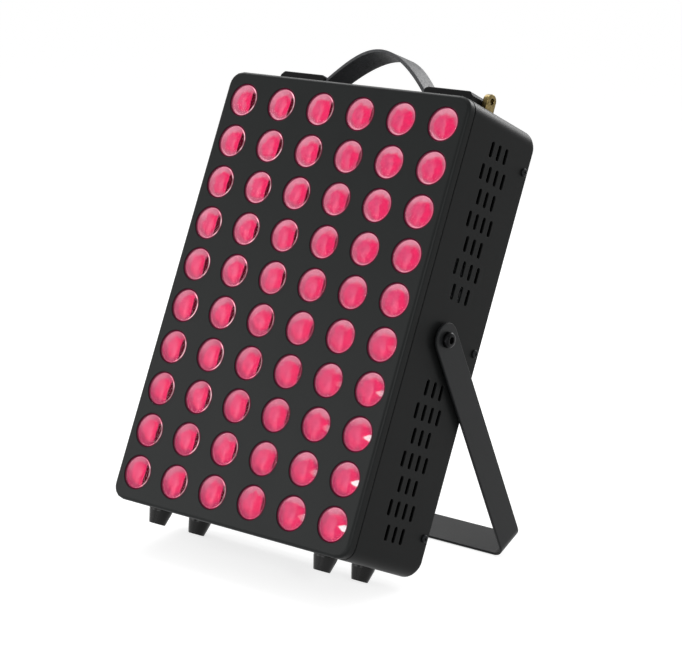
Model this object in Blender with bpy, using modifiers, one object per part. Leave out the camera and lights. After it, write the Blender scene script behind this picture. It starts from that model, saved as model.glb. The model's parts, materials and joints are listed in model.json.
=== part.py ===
# Red light therapy panel: a lamp housing leaning back on its folding U bracket.
# Panel frame: X to the right seen from the front, Y towards the back, Z up the housing,
# with its origin in the middle of the front face. Lengths are in metres.
import bmesh
import bpy
from math import cos, hypot, pi, radians, sin
from mathutils import Matrix, Vector

# Housing
PANEL_WIDTH = 0.210
PANEL_HEIGHT = 0.310
PANEL_DEPTH = 0.082
CORNER_RADIUS = 0.010
CORNER_STEPS = 3
SHEET = 0.0012
TILT = radians(22.0)
FIT_GAP = 0.0003
CUT_MARGIN = 0.002

# Front sheet and its seam
FRONT_EDGE_RADIUS = 0.0020
FRONT_FLANGE = 0.0065
SEAM = 0.0007
LIP_START = 0.0026
EDGE_STEPS = 2

# Lens grid, which fills the front sheet inside its rim
LENS_SPACING_X = 0.0348
LENS_SPACING_Z = 0.0299
LENS_HOLE_DIAMETER = 0.0240
LENS_RIM = 0.0040
LENS_CLEARANCE = 0.0004
LENS_SIDES = 10
ROWS_PER_BOARD = 2
BOARD_FRONT = 0.0090
BOARD_THICKNESS = 0.0016
BOARD_SIDE_ROOM = 0.0070

# Vents in the side walls: rows of three and of four slots by turns
VENT_BEHIND_MIDDLE = 0.0026
VENT_SPACING = 0.0085
VENT_ROW_SPACING = 0.01625
VENT_FIRST_ROW = 0.0326
VENT_SLOT_WIDTH = 0.0032
VENT_SLOT_LENGTH = 0.0110

# Rear bend and rear cover
REAR_BEND_RADIUS = 0.0050
REAR_LIP = 0.0120
SIDE_LIP = 0.0015
COVER_FLANGE = 0.0100
COVER_EDGE_RADIUS = 0.0015
SIDE_SCREW_INSET = 0.0053
SIDE_SCREW_END_ROOM = 0.0280
SIDE_SCREW_HEAD = 0.0056
SIDE_SCREW_HEAD_RISE = 0.0013
SMALL_SHANK = 0.0028
SMALL_HOLE = 0.0034
SMALL_SCREW_REACH = 0.0060

# Folding bracket
PIVOT_AHEAD_OF_MIDDLE = 0.0035
PIVOT_HEIGHT = 0.0010
PIVOT_HOLE = 0.0064
PIVOT_SHANK = 0.0058
PIVOT_HEAD = 0.0110
PIVOT_HEAD_RISE = 0.0034
PIVOT_SOCKET = 0.0046
PIVOT_SOCKET_DEPTH = 0.0020
WASHER_DIAMETER = 0.0160
WASHER_THICKNESS = 0.0015
STAND_WIDTH = 0.0225
STAND_THICKNESS = 0.0020
STAND_LEAN = radians(61.75)
STAND_BEND_RADIUS = 0.0090
RIVET_NUT_REACH = 0.0100

# Feet
FOOT_TOP = 0.0162
FOOT_BOTTOM = 0.0112
FOOT_HEIGHT = 0.0100
FOOT_SIDE_ROOM = 0.0310
FOOT_FRONT_ROOM = 0.0193
FOOT_REAR_ROOM = 0.0200

# Strap handle, its end caps and the hanging eyes
STRAP_AHEAD_OF_MIDDLE = 0.0033
STRAP_WIDTH = 0.0196
STRAP_THICKNESS = 0.0020
STRAP_RISE = 0.0312
STRAP_SOFTENING_SHARE = 0.06
STRAP_RUN_IN = 0.0050
CAP_SIDE_ROOM = 0.0210
CAP_LENGTH = 0.0405
CAP_HEIGHT = 0.0104
CAP_WIDTH = 0.0226
CAP_CHAMFER = 0.0028
CAP_WALL = 0.0014
HANDLE_SCREW_INSET = 0.0200
EYE_BESIDE_CAP = 0.0030
EYE_BEHIND_STRAP = 0.0053

# Inside: heat sink, rails, drivers and fans
HEAT_SINK_BASE = 0.0030
FIN_HEIGHT = 0.0130
FIN_COUNT = 18
FIN_THICKNESS = 0.0018
HEAT_SINK_END_ROOM = 0.0110
RAIL_WIDTH = 0.0170
FAN_SIZE = 0.0800
FAN_DEPTH = 0.0200
FAN_WALL = 0.0020
FAN_SCREW_INSET = 0.00425
FAN_BLADES = 7
MOTOR_PLATE = 0.0025
HUB_DIAMETER = 0.0320
FAN_SIDES = 18
FAN_TOP_ROOM = 0.0670
FAN_BOTTOM_ROOM = 0.1050
DRIVER_DEPTH = 0.0220
DRIVER_LENGTH = 0.0850
DRIVER_PLACE = 0.0190
DRIVER_FAN_ROOM = 0.0020

# Controls on the rear cover
CONTROL_END_ROOM = 0.0390
INLET_SIDE_ROOM = 0.0390
SWITCH_SIDE_ROOMS = {"red": 0.0750, "infrared": 0.0490}

ROUND_SIDES = 12
SMALL_SIDES = 6

# Directions: rotations that turn an object's own Z axis to a panel axis
FACE_FRONT = (pi / 2, 0.0, 0.0)
FACE_REAR = (-pi / 2, 0.0, 0.0)
FACE_RIGHT = (0.0, pi / 2, 0.0)
FACE_LEFT = (0.0, -pi / 2, 0.0)
FACE_UP = (0.0, 0.0, 0.0)
FACE_DOWN = (pi, 0.0, 0.0)
SIDES = {"right": 1, "left": -1}
FACE_SIDE = {"right": FACE_RIGHT, "left": FACE_LEFT}

half_width = PANEL_WIDTH / 2
half_height = PANEL_HEIGHT / 2
housing_front = FRONT_FLANGE + SEAM
cover_inner_face = PANEL_DEPTH - SHEET
wall_inner_face = half_width - SHEET
control_height = CONTROL_END_ROOM - half_height


# As many lenses as the front sheet has room for.
def lens_count(room, spacing):
    return int((room - 2 * LENS_RIM - LENS_HOLE_DIAMETER) / spacing) + 1


lens_columns = lens_count(PANEL_WIDTH, LENS_SPACING_X)
board_count = lens_count(PANEL_HEIGHT, LENS_SPACING_Z) // ROWS_PER_BOARD
lens_rows = board_count * ROWS_PER_BOARD
first_column = -LENS_SPACING_X * (lens_columns - 1) / 2
first_row = -LENS_SPACING_Z * (lens_rows - 1) / 2


def clear_scene():
    for obj in list(bpy.data.objects):
        bpy.data.objects.remove(obj, do_unlink=True)


def make_collection(name):
    collection = bpy.data.collections.new(name)
    bpy.context.scene.collection.children.link(collection)
    return collection


clear_scene()
model = make_collection("red_light_panel")
helpers = make_collection("cutters_and_helpers")


def make_empty(name, parent=None, location=(0.0, 0.0, 0.0), rotation=(0.0, 0.0, 0.0)):
    empty = bpy.data.objects.new(name, None)
    model.objects.link(empty)
    empty.parent = parent
    empty.location = location
    empty.rotation_euler = rotation
    return empty


assembly = make_empty("assembly")
panel = make_empty("panel_frame", assembly, rotation=(-TILT, 0.0, 0.0))


# Materials

def make_material(name, colour, roughness, metallic=0.0):
    material = bpy.data.materials.new(name)
    material.use_nodes = True
    shader = material.node_tree.nodes["Principled BSDF"]
    shader.inputs["Base Color"].default_value = (*colour, 1.0)
    shader.inputs["Roughness"].default_value = roughness
    shader.inputs["Metallic"].default_value = metallic
    return material


coated_steel = make_material("charcoal_coated_steel", (0.028, 0.029, 0.030), 0.45)
stand_steel = make_material("coated_bracket_steel", (0.036, 0.037, 0.039), 0.50)
lens_acrylic = make_material("pink_lit_lens", (0.850, 0.060, 0.180), 0.15)
rubber = make_material("black_rubber", (0.012, 0.012, 0.012), 0.40)
strap_vinyl = make_material("charcoal_strap", (0.060, 0.062, 0.065), 0.60)
black_plastic = make_material("black_plastic", (0.015, 0.015, 0.016), 0.35)
zinc = make_material("zinc_plated_steel", (0.420, 0.420, 0.430), 0.30, 1.0)
black_screw = make_material("blackened_steel", (0.020, 0.020, 0.020), 0.35, 1.0)
brass = make_material("brass", (0.480, 0.350, 0.160), 0.30, 1.0)
aluminium = make_material("aluminium", (0.600, 0.610, 0.620), 0.40, 1.0)
nylon = make_material("natural_nylon", (0.700, 0.700, 0.660), 0.50)


# Helpers that turn Blender's tools into one object each

def add_object(name, data, material=None):
    obj = bpy.data.objects.new(name, data)
    if material is None:
        helpers.objects.link(obj)
        obj.hide_render = True
        obj.display_type = "WIRE"
    else:
        model.objects.link(obj)
        obj.data.materials.append(material)
    return obj


def place(obj, location=(0.0, 0.0, 0.0), rotation=FACE_UP, parent=panel):
    obj.parent = parent
    obj.location = location
    obj.rotation_euler = rotation
    return obj


def mesh_from(bm, name):
    mesh = bpy.data.meshes.new(name)
    bm.to_mesh(mesh)
    bm.free()
    return mesh


def smooth(obj, angle=radians(35.0)):
    obj.data.shade_smooth()
    obj.data.set_sharp_from_angle(angle=angle)


def box(name, size, material=None):
    bm = bmesh.new()
    bmesh.ops.create_cube(bm, size=1.0, matrix=Matrix.Diagonal((*size, 1.0)))
    return add_object(name, mesh_from(bm, name), material)


def cylinder(name, diameter, length, sides=ROUND_SIDES, material=None):
    bm = bmesh.new()
    bmesh.ops.create_cone(bm, cap_ends=True, segments=sides, radius1=diameter / 2,
                          radius2=diameter / 2, depth=length)
    obj = add_object(name, mesh_from(bm, name), material)
    smooth(obj)
    return obj


# A turned piece: the profile runs down its outer side as (radius, height) pairs.
def turned(name, profile, material=None, sides=ROUND_SIDES, closed=False):
    mesh = bpy.data.meshes.new(name)
    edges = [(i, i + 1) for i in range(len(profile) - 1)]
    if closed:
        edges.append((len(profile) - 1, 0))
    mesh.from_pydata([(r, 0.0, h) for r, h in profile], edges, [])
    obj = add_object(name, mesh, material)
    screw = obj.modifiers.new("Revolve", "SCREW")
    screw.steps = sides
    screw.render_steps = sides
    screw.use_merge_vertices = True
    screw.merge_threshold = 0.00001
    screw.use_smooth_shade = True
    return obj


# Freezes a curve's surface as a mesh of one welded body, at the same place.
def curve_to_mesh(curve_object, material=None):
    bpy.context.view_layer.update()
    graph = bpy.context.evaluated_depsgraph_get()
    mesh = bpy.data.meshes.new_from_object(curve_object.evaluated_get(graph))
    name = curve_object.name
    curve_data = curve_object.data
    bpy.data.objects.remove(curve_object, do_unlink=True)
    bpy.data.curves.remove(curve_data)
    bm = bmesh.new()
    bm.from_mesh(mesh)
    bmesh.ops.remove_doubles(bm, verts=bm.verts, dist=0.000001)
    bmesh.ops.recalc_face_normals(bm, faces=bm.faces)
    bm.to_mesh(mesh)
    bm.free()
    mesh.name = name
    mesh.materials.clear()
    return add_object(name, mesh, material)


# A flat outline in the object's own XY plane, thick along its Z axis.
def plate(name, points, thickness, material=None):
    curve = bpy.data.curves.new(name, "CURVE")
    curve.dimensions = "2D"
    curve.fill_mode = "BOTH"
    curve.extrude = thickness / 2
    spline = curve.splines.new("POLY")
    spline.points.add(len(points) - 1)
    for point, (x, y) in zip(spline.points, points):
        point.co = (x, y, 0.0, 1.0)
    spline.use_cyclic_u = True
    curve_object = bpy.data.objects.new(name, curve)
    helpers.objects.link(curve_object)
    return curve_to_mesh(curve_object, material)


# A round wire along the given points.
def wire(name, points, diameter, cyclic=False, material=None):
    curve = bpy.data.curves.new(name, "CURVE")
    curve.dimensions = "3D"
    curve.bevel_depth = diameter / 2
    curve.bevel_resolution = 0
    curve.use_fill_caps = True
    spline = curve.splines.new("POLY")
    spline.points.add(len(points) - 1)
    for point, co in zip(spline.points, points):
        point.co = (*co, 1.0)
    spline.use_cyclic_u = cyclic
    curve_object = bpy.data.objects.new(name, curve)
    helpers.objects.link(curve_object)
    return curve_to_mesh(curve_object, material)


def arc(centre, radius, start, end, steps):
    angles = [start + (end - start) * i / steps for i in range(steps + 1)]
    return [(centre[0] + radius * cos(a), centre[1] + radius * sin(a)) for a in angles]


# Anticlockwise round the rectangle, starting at the middle height of its right side.
def rounded_rectangle(half_x, half_y, radius, steps=CORNER_STEPS):
    points = []
    for k, (sx, sy) in enumerate(((1, 1), (-1, 1), (-1, -1), (1, -1))):
        centre = (sx * (half_x - radius), sy * (half_y - radius))
        points += arc(centre, radius, k * pi / 2, (k + 1) * pi / 2, steps)
    return points


# A sheet-metal shell through rounded rectangles that follow one another along Y.
# Each ring is (y, half width, half height, corner radius).
def sheet_shell(name, rings, material, cap=None):
    bm = bmesh.new()
    loops = []
    for y, half_x, half_z, radius in rings:
        points = rounded_rectangle(half_x, half_z, radius)
        loops.append([bm.verts.new((x, y, z)) for x, z in points])
    for front, rear in zip(loops, loops[1:]):
        for i in range(len(front)):
            j = (i + 1) % len(front)
            bm.faces.new((front[i], rear[i], rear[j], front[j]))
    if cap == "front":
        bm.faces.new(loops[0])
    if cap == "rear":
        bm.faces.new(list(reversed(loops[-1])))
    obj = add_object(name, mesh_from(bm, name), material)
    smooth(obj)
    solid = obj.modifiers.new("Sheet", "SOLIDIFY")
    solid.thickness = SHEET
    solid.offset = -1.0
    solid.use_even_offset = True
    return obj


def combine(target, tool, operation="DIFFERENCE"):
    modifier = target.modifiers.new(operation.title() + " " + tool.name, "BOOLEAN")
    modifier.operation = operation
    modifier.solver = "EXACT"
    modifier.object = tool
    return target


def repeat(obj, step, count):
    array = obj.modifiers.new("Row", "ARRAY")
    array.count = count
    array.use_relative_offset = False
    array.use_constant_offset = True
    array.constant_offset_displace = step
    return obj


def bevel_edges(obj, width, segments=2, angle=radians(40.0)):
    modifier = obj.modifiers.new("Rounded edges", "BEVEL")
    modifier.width = width
    modifier.segments = segments
    modifier.limit_method = "ANGLE"
    modifier.angle_limit = angle
    return obj


# Holes shared by neighbouring pieces

def make_hole_pair(name, spacing, diameter, length, location, rotation):
    hole = repeat(cylinder(name, diameter, length, SMALL_SIDES), (spacing, 0.0, 0.0), 2)
    return place(hole, location, rotation)


def make_lens_hole_cutter():
    cutter = cylinder("lens_hole_cutter", LENS_HOLE_DIAMETER, 2 * FRONT_FLANGE, LENS_SIDES)
    repeat(cutter, (LENS_SPACING_X, 0.0, 0.0), lens_columns)
    repeat(cutter, (0.0, LENS_SPACING_Z, 0.0), lens_rows)
    return place(cutter, (first_column, 0.0, first_row), FACE_FRONT)


def make_vent_cutters():
    half_length, half_slot = VENT_SLOT_LENGTH / 2, VENT_SLOT_WIDTH / 2
    slot = [(-half_length, -half_slot), (half_length, -half_slot), (half_length, half_slot),
            (-half_length, half_slot)]
    cutters = []
    for level, direction in (("upper", 1), ("lower", -1)):
        for slots, rows, first in ((3, 4, 0), (4, 3, 1)):
            cutter = plate(f"vent_cutter_{level}_{slots}", slot, PANEL_WIDTH + 2 * CUT_MARGIN)
            repeat(cutter, (0.0, VENT_SPACING, 0.0), slots)
            repeat(cutter, (-direction * 2 * VENT_ROW_SPACING, 0.0, 0.0), rows)
            depth = PANEL_DEPTH / 2 + VENT_BEHIND_MIDDLE - VENT_SPACING * (slots - 1) / 2
            height = direction * (VENT_FIRST_ROW + first * VENT_ROW_SPACING)
            cutters.append(place(cutter, (0.0, depth, height), FACE_RIGHT))
    return cutters


def make_cross_hole(name, diameter, depth, height, sides):
    hole = cylinder(name, diameter, PANEL_WIDTH + 2 * CUT_MARGIN, sides)
    return place(hole, (0.0, depth, height), FACE_RIGHT)


side_screw_depth = PANEL_DEPTH - SIDE_SCREW_INSET
side_screw_reach = half_height - SIDE_SCREW_END_ROOM
side_screw_heights = {"top": side_screw_reach, "middle": 0.0, "bottom": -side_screw_reach}


def make_side_screw_holes():
    return [make_cross_hole(f"side_screw_hole_{level}", SMALL_HOLE, side_screw_depth, height, SMALL_SIDES)
            for level, height in side_screw_heights.items()]


# Sheet-metal housing

def make_front_panel(lens_holes):
    radius = FRONT_EDGE_RADIUS
    rings = []
    for i in range(EDGE_STEPS + 1):
        angle = pi / 2 * i / EDGE_STEPS
        inset = radius * (1 - sin(angle))
        rings.append((radius * (1 - cos(angle)), half_width - inset, half_height - inset,
                      CORNER_RADIUS - inset))
    rings.append((FRONT_FLANGE, half_width, half_height, CORNER_RADIUS))
    front = sheet_shell("front_panel", rings, coated_steel, cap="front")
    combine(front, lens_holes)
    return place(front)


def make_housing(cutters):
    lip_inset = SHEET + FIT_GAP
    rings = [
        (LIP_START, half_width - lip_inset, half_height - lip_inset, CORNER_RADIUS - lip_inset),
        (housing_front, half_width - lip_inset, half_height - lip_inset, CORNER_RADIUS - lip_inset),
        (housing_front, half_width, half_height, CORNER_RADIUS),
    ]
    rear_steps = 4
    for i in range(rear_steps + 1):
        angle = pi / 2 * i / rear_steps
        rings.append((PANEL_DEPTH - REAR_BEND_RADIUS * (1 - sin(angle)), half_width,
                      half_height - REAR_BEND_RADIUS * (1 - cos(angle)), CORNER_RADIUS))
    rings.append((PANEL_DEPTH, half_width - SIDE_LIP, half_height - REAR_BEND_RADIUS - REAR_LIP,
                  CORNER_RADIUS - SIDE_LIP))
    housing = sheet_shell("housing", rings, coated_steel)
    for cutter in cutters:
        combine(housing, cutter)
    return place(housing)


def make_rear_cover(cutters):
    cover_x = half_width - SIDE_LIP - FIT_GAP
    cover_z = half_height - REAR_BEND_RADIUS - REAR_LIP - FIT_GAP
    radius = COVER_EDGE_RADIUS
    corner = CORNER_RADIUS - SIDE_LIP - FIT_GAP
    rings = [(PANEL_DEPTH - COVER_FLANGE, cover_x, cover_z, corner)]
    for i in range(EDGE_STEPS + 1):
        angle = pi / 2 * i / EDGE_STEPS
        inset = radius * (1 - cos(angle))
        rings.append((PANEL_DEPTH - radius * (1 - sin(angle)), cover_x - inset, cover_z - inset,
                      corner - inset))
    cover = sheet_shell("rear_cover", rings, coated_steel, cap="rear")
    for cutter in cutters:
        combine(cover, cutter)
    return place(cover)


# Lamp boards, each carrying two rows of lenses moulded onto its lamps

board_width = PANEL_WIDTH - 2 * BOARD_SIDE_ROOM


def make_lens_block(name):
    radius = LENS_HOLE_DIAMETER / 2 - LENS_CLEARANCE
    crown_rise = 0.0014
    seat_radius = 0.0070
    set_back = 0.0005
    front = BOARD_FRONT - set_back
    profile = [
        (0.0, front),
        (radius, front - crown_rise),
        (seat_radius, -BOARD_THICKNESS / 2),
        (0.0, -BOARD_THICKNESS / 2),
    ]
    block = turned(name, profile, sides=LENS_SIDES)
    repeat(block, (LENS_SPACING_X, 0.0, 0.0), lens_columns)
    return repeat(block, (0.0, LENS_SPACING_Z, 0.0), ROWS_PER_BOARD)


def make_lamp_boards():
    board_height = ROWS_PER_BOARD * LENS_SPACING_Z - FIT_GAP
    for k in range(board_count):
        lower_row = first_row + LENS_SPACING_Z * k * ROWS_PER_BOARD
        middle = lower_row + LENS_SPACING_Z * (ROWS_PER_BOARD - 1) / 2
        board = box(f"lamp_board_{k + 1}", (board_width, BOARD_THICKNESS, board_height), lens_acrylic)
        place(board, (0.0, BOARD_FRONT + BOARD_THICKNESS / 2, middle))
        lenses = place(make_lens_block(f"lens_block_{k + 1}"), (first_column, BOARD_FRONT, lower_row),
                       FACE_FRONT)
        combine(board, lenses, "UNION")


# Aluminium heat sink: an extruded comb, its fins pointing back, on two rails

heat_sink_front = BOARD_FRONT + BOARD_THICKNESS + FIT_GAP
rail_outer = wall_inner_face - FIT_GAP
rail_inner = rail_outer - RAIL_WIDTH


def make_heat_sink():
    fin_room = 0.0025
    sink_height = PANEL_HEIGHT - 2 * HEAT_SINK_END_ROOM
    base = box("heat_sink", (board_width, HEAT_SINK_BASE, sink_height), aluminium)
    place(base, (0.0, heat_sink_front + HEAT_SINK_BASE / 2, 0.0))
    sunk = HEAT_SINK_BASE / 2
    fin = box("heat_sink_fins", (2 * (rail_inner - fin_room), FIN_HEIGHT + sunk, FIN_THICKNESS))
    fin_spacing = (sink_height - 2 * FIN_THICKNESS) / (FIN_COUNT - 1)
    repeat(fin, (0.0, 0.0, fin_spacing), FIN_COUNT)
    first_fin = FIN_THICKNESS - sink_height / 2
    place(fin, (0.0, heat_sink_front + HEAT_SINK_BASE - sunk + (FIN_HEIGHT + sunk) / 2, first_fin))
    combine(base, fin, "UNION")


def make_rails():
    rail_sheet = 0.0012
    rail_length = 0.1200
    rail_wall = 0.0120
    rail_front = heat_sink_front + HEAT_SINK_BASE + FIT_GAP
    for side, sign in SIDES.items():
        angle_section = [
            (rail_inner, rail_front), (rail_outer, rail_front), (rail_outer, rail_front + rail_wall),
            (rail_outer - rail_sheet, rail_front + rail_wall),
            (rail_outer - rail_sheet, rail_front + rail_sheet), (rail_inner, rail_front + rail_sheet),
        ]
        rail = plate(f"heat_sink_rail_{side}", [(sign * x, y) for x, y in angle_section],
                     rail_length, aluminium)
        place(rail)


# Fans, blowing out through the rear cover

fan_bore = FAN_SIZE - 2 * FAN_WALL
fan_screw_spacing = FAN_SIZE - 2 * FAN_SCREW_INSET
fan_heights = {"upper": half_height - FAN_TOP_ROOM, "lower": FAN_BOTTOM_ROOM - half_height}
fan_rear = cover_inner_face - FIT_GAP
fan_middle = fan_rear - FAN_DEPTH / 2
motor_rear = fan_rear - FAN_DEPTH + MOTOR_PLATE


def make_fan_hole(level, height):
    hole = cylinder(f"fan_opening_{level}", fan_bore, PANEL_DEPTH, FAN_SIDES)
    return place(hole, (0.0, PANEL_DEPTH, height), FACE_REAR)


def make_fan_screw_holes(level, height):
    holes = cylinder(f"fan_screw_holes_{level}", SMALL_HOLE, PANEL_DEPTH, SMALL_SIDES)
    repeat(holes, (fan_screw_spacing, 0.0, 0.0), 2)
    repeat(holes, (0.0, -fan_screw_spacing, 0.0), 2)
    corner = fan_screw_spacing / 2
    return place(holes, (-corner, PANEL_DEPTH, height - corner), FACE_REAR)


def make_fan_frame(level, height, opening, screw_holes):
    strut_width = 0.0050
    corner_round = 0.0040
    outline = rounded_rectangle(FAN_SIZE / 2, FAN_SIZE / 2, corner_round, steps=2)
    frame = plate(f"fan_frame_{level}", outline, FAN_DEPTH, black_plastic)
    place(frame, (0.0, fan_middle, height), FACE_REAR)
    combine(frame, opening)
    combine(frame, screw_holes)
    plate_place = (0.0, motor_rear - MOTOR_PLATE / 2, height)
    motor = cylinder(f"fan_motor_plate_{level}", HUB_DIAMETER, MOTOR_PLATE)
    place(motor, plate_place, FACE_REAR)
    strut_length = fan_bore + corner_round
    inset = 0.0005
    for name, size in (("across", (strut_length, MOTOR_PLATE - inset, strut_width)),
                       ("upright", (strut_width, MOTOR_PLATE - inset, strut_length))):
        strut = place(box(f"fan_strut_{name}_{level}", size), plate_place)
        combine(motor, strut, "UNION")
    combine(frame, motor, "UNION")


# Blades lofted through sections from root to tip, each turned less than the one before.
# A slanted sheet cut across its turn is wider than its own thickness.
def blade_mesh(name, root, tip, depth):
    sections, blade_sheet, slant_width = 3, 0.0012, 1.6
    root_sweep, tip_sweep = radians(24.0), radians(15.0)
    bm = bmesh.new()
    for k in range(FAN_BLADES):
        loops = []
        for i in range(sections):
            share = i / (sections - 1)
            radius = root + (tip - root) * share
            sweep = root_sweep + (tip_sweep - root_sweep) * share
            middle = 2 * pi * k / FAN_BLADES
            half_angle = blade_sheet / 2 / radius
            corners = []
            for along, edge in ((-1, -1), (-1, 1), (1, 1), (1, -1)):
                angle = middle + along * sweep + edge * half_angle * slant_width
                corners.append(bm.verts.new((radius * cos(angle), radius * sin(angle), along * depth / 2)))
            loops.append(corners)
        for a, b in zip(loops, loops[1:]):
            for i in range(4):
                j = (i + 1) % 4
                bm.faces.new((a[i], a[j], b[j], b[i]))
        bm.faces.new(loops[0])
        bm.faces.new(list(reversed(loops[-1])))
    bmesh.ops.recalc_face_normals(bm, faces=bm.faces)
    return mesh_from(bm, name)


def make_fan_rotor(level, height):
    hub_radius, hub_depth, hub_round = HUB_DIAMETER / 2, 0.0140, 0.0020
    tip_gap, root_sink, blade_depth = 0.0015, 0.0020, 0.0110
    rotor_middle = motor_rear + FIT_GAP + hub_depth / 2
    profile = [
        (0.0, hub_depth / 2), (hub_radius - hub_round, hub_depth / 2),
        (hub_radius, hub_depth / 2 - hub_round), (hub_radius, -hub_depth / 2), (0.0, -hub_depth / 2),
    ]
    rotor = turned(f"fan_rotor_{level}", profile, black_plastic)
    place(rotor, (0.0, rotor_middle, height), FACE_REAR)
    blades = add_object(f"fan_blades_{level}", blade_mesh(f"fan_blades_{level}", hub_radius - root_sink,
                                                          fan_bore / 2 - tip_gap, blade_depth))
    place(blades, (0.0, rotor_middle, height), FACE_REAR)
    combine(rotor, blades, "UNION")


def make_finger_guard(level, height):
    wire_diameter, ring_points = 0.0020, 12
    ring_shares = (0.40, 0.80)
    corner = fan_screw_spacing / 2
    lift = PANEL_DEPTH + FIT_GAP + wire_diameter / 2
    weld_share = 0.3
    weld = weld_share * wire_diameter
    guard = wire(f"finger_guard_{level}", [(-corner, 0.0, -corner), (corner, 0.0, corner)],
                 wire_diameter, material=zinc)
    place(guard, (0.0, lift, height))
    spoke = wire(f"guard_spoke_{level}", [(-corner, 0.0, corner), (corner, 0.0, -corner)],
                 wire_diameter)
    parts = [place(spoke, (0.0, lift + weld, height))]
    for n, share in enumerate(ring_shares):
        radius = share * fan_bore / 2
        turns = [2 * pi * (i + 0.5) / ring_points for i in range(ring_points)]
        points = [(radius * cos(turn), 0.0, radius * sin(turn)) for turn in turns]
        ring = wire(f"guard_ring_{level}_{n}", points, wire_diameter, cyclic=True)
        parts.append(place(ring, (0.0, lift + 2 * weld, height)))
    pin_reach, pin_rise = 0.0080, 0.0012
    pins = cylinder(f"guard_pins_{level}", SMALL_SHANK, pin_reach + pin_rise, SMALL_SIDES)
    repeat(pins, (fan_screw_spacing, 0.0, 0.0), 2)
    repeat(pins, (0.0, -fan_screw_spacing, 0.0), 2)
    pin_middle = lift + (pin_rise - pin_reach) / 2
    parts.append(place(pins, (-corner, pin_middle, height - corner), FACE_REAR))
    for part in parts:
        combine(guard, part, "UNION")


# Drivers that feed the lamp boards, one on each side of the fans

def make_drivers():
    edge_round = 0.0015
    outer = wall_inner_face - FIT_GAP - RIVET_NUT_REACH - FIT_GAP
    width = outer - FAN_SIZE / 2 - DRIVER_FAN_ROOM
    for side, sign in SIDES.items():
        driver = box(f"lamp_driver_{side}", (width, DRIVER_DEPTH, DRIVER_LENGTH), aluminium)
        place(driver, (sign * (outer - width / 2), cover_inner_face - FIT_GAP - DRIVER_DEPTH / 2,
                       DRIVER_PLACE))
        bevel_edges(driver, edge_round)


# Rocker switches: a framed body with an open window and a rocker on a cross axis

SWITCH_FRAME = (0.0150, 0.0020, 0.0210)
SWITCH_BODY = (0.0130, 0.0140, 0.0190)
SWITCH_WINDOW = (0.0106, 0.0166)
ROCKER_WIDTH = 0.0100
ROCKER_HALF_LENGTH = 0.0076
ROCKER_TILT = radians(8.0)
switch_offsets = {name: half_width - room for name, room in SWITCH_SIDE_ROOMS.items()}


def make_switch_cutters():
    cutters = []
    for name, offset in switch_offsets.items():
        size = (SWITCH_BODY[0] + 2 * FIT_GAP, SWITCH_BODY[1], SWITCH_BODY[2] + 2 * FIT_GAP)
        cutters.append(place(box(f"switch_cutout_{name}", size), (offset, PANEL_DEPTH, control_height)))
    return cutters


def make_switches():
    window_depth = 0.0090
    frame_round = 0.0008
    for name, offset in switch_offsets.items():
        frame_middle = PANEL_DEPTH + FIT_GAP + SWITCH_FRAME[1] / 2
        body = box(f"switch_body_{name}", SWITCH_FRAME, black_plastic)
        place(body, (offset, frame_middle, control_height))
        bevel_edges(body, frame_round)
        well = box(f"switch_well_{name}", SWITCH_BODY)
        place(well, (offset, frame_middle - SWITCH_BODY[1] / 2, control_height))
        combine(body, well, "UNION")
        window = box(f"switch_window_{name}", (SWITCH_WINDOW[0], 2 * window_depth, SWITCH_WINDOW[1]))
        place(window, (offset, frame_middle + SWITCH_FRAME[1] / 2, control_height))
        combine(body, window)
        make_rocker(name, offset, frame_middle)


# The rocker's side outline is a shallow V on top of a half round that clears the well.
# It stands switched on, with its upper end pressed in.
def make_rocker(name, offset, depth):
    crest, dip, belly, belly_steps = 0.0034, 0.0020, 0.0042, 6
    outline = [(-ROCKER_HALF_LENGTH, crest), (-ROCKER_HALF_LENGTH, 0.0)]
    outline += arc((0.0, 0.0), belly, pi, 2 * pi, belly_steps)
    outline += [(ROCKER_HALF_LENGTH, 0.0), (ROCKER_HALF_LENGTH, crest), (0.0, dip)]
    lean = Matrix.Rotation(ROCKER_TILT, 2)
    points = [lean @ Vector((y, -x)) for x, y in outline]
    rocker = plate(f"switch_rocker_{name}", points, ROCKER_WIDTH, black_plastic)
    place(rocker, (offset, depth, control_height), (pi / 2, 0.0, pi / 2))


# Power inlet: a flanged block with a keyed well and three flat pins

INLET_BODY = (0.0270, 0.0160, 0.0200)
INLET_FLANGE = (0.0310, 0.0030, 0.0240)
inlet_x = INLET_SIDE_ROOM - half_width


def make_inlet_cutter():
    size = (INLET_BODY[0] + 2 * FIT_GAP, INLET_BODY[1], INLET_BODY[2] + 2 * FIT_GAP)
    return place(box("inlet_cutout", size), (inlet_x, PANEL_DEPTH, control_height))


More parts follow.
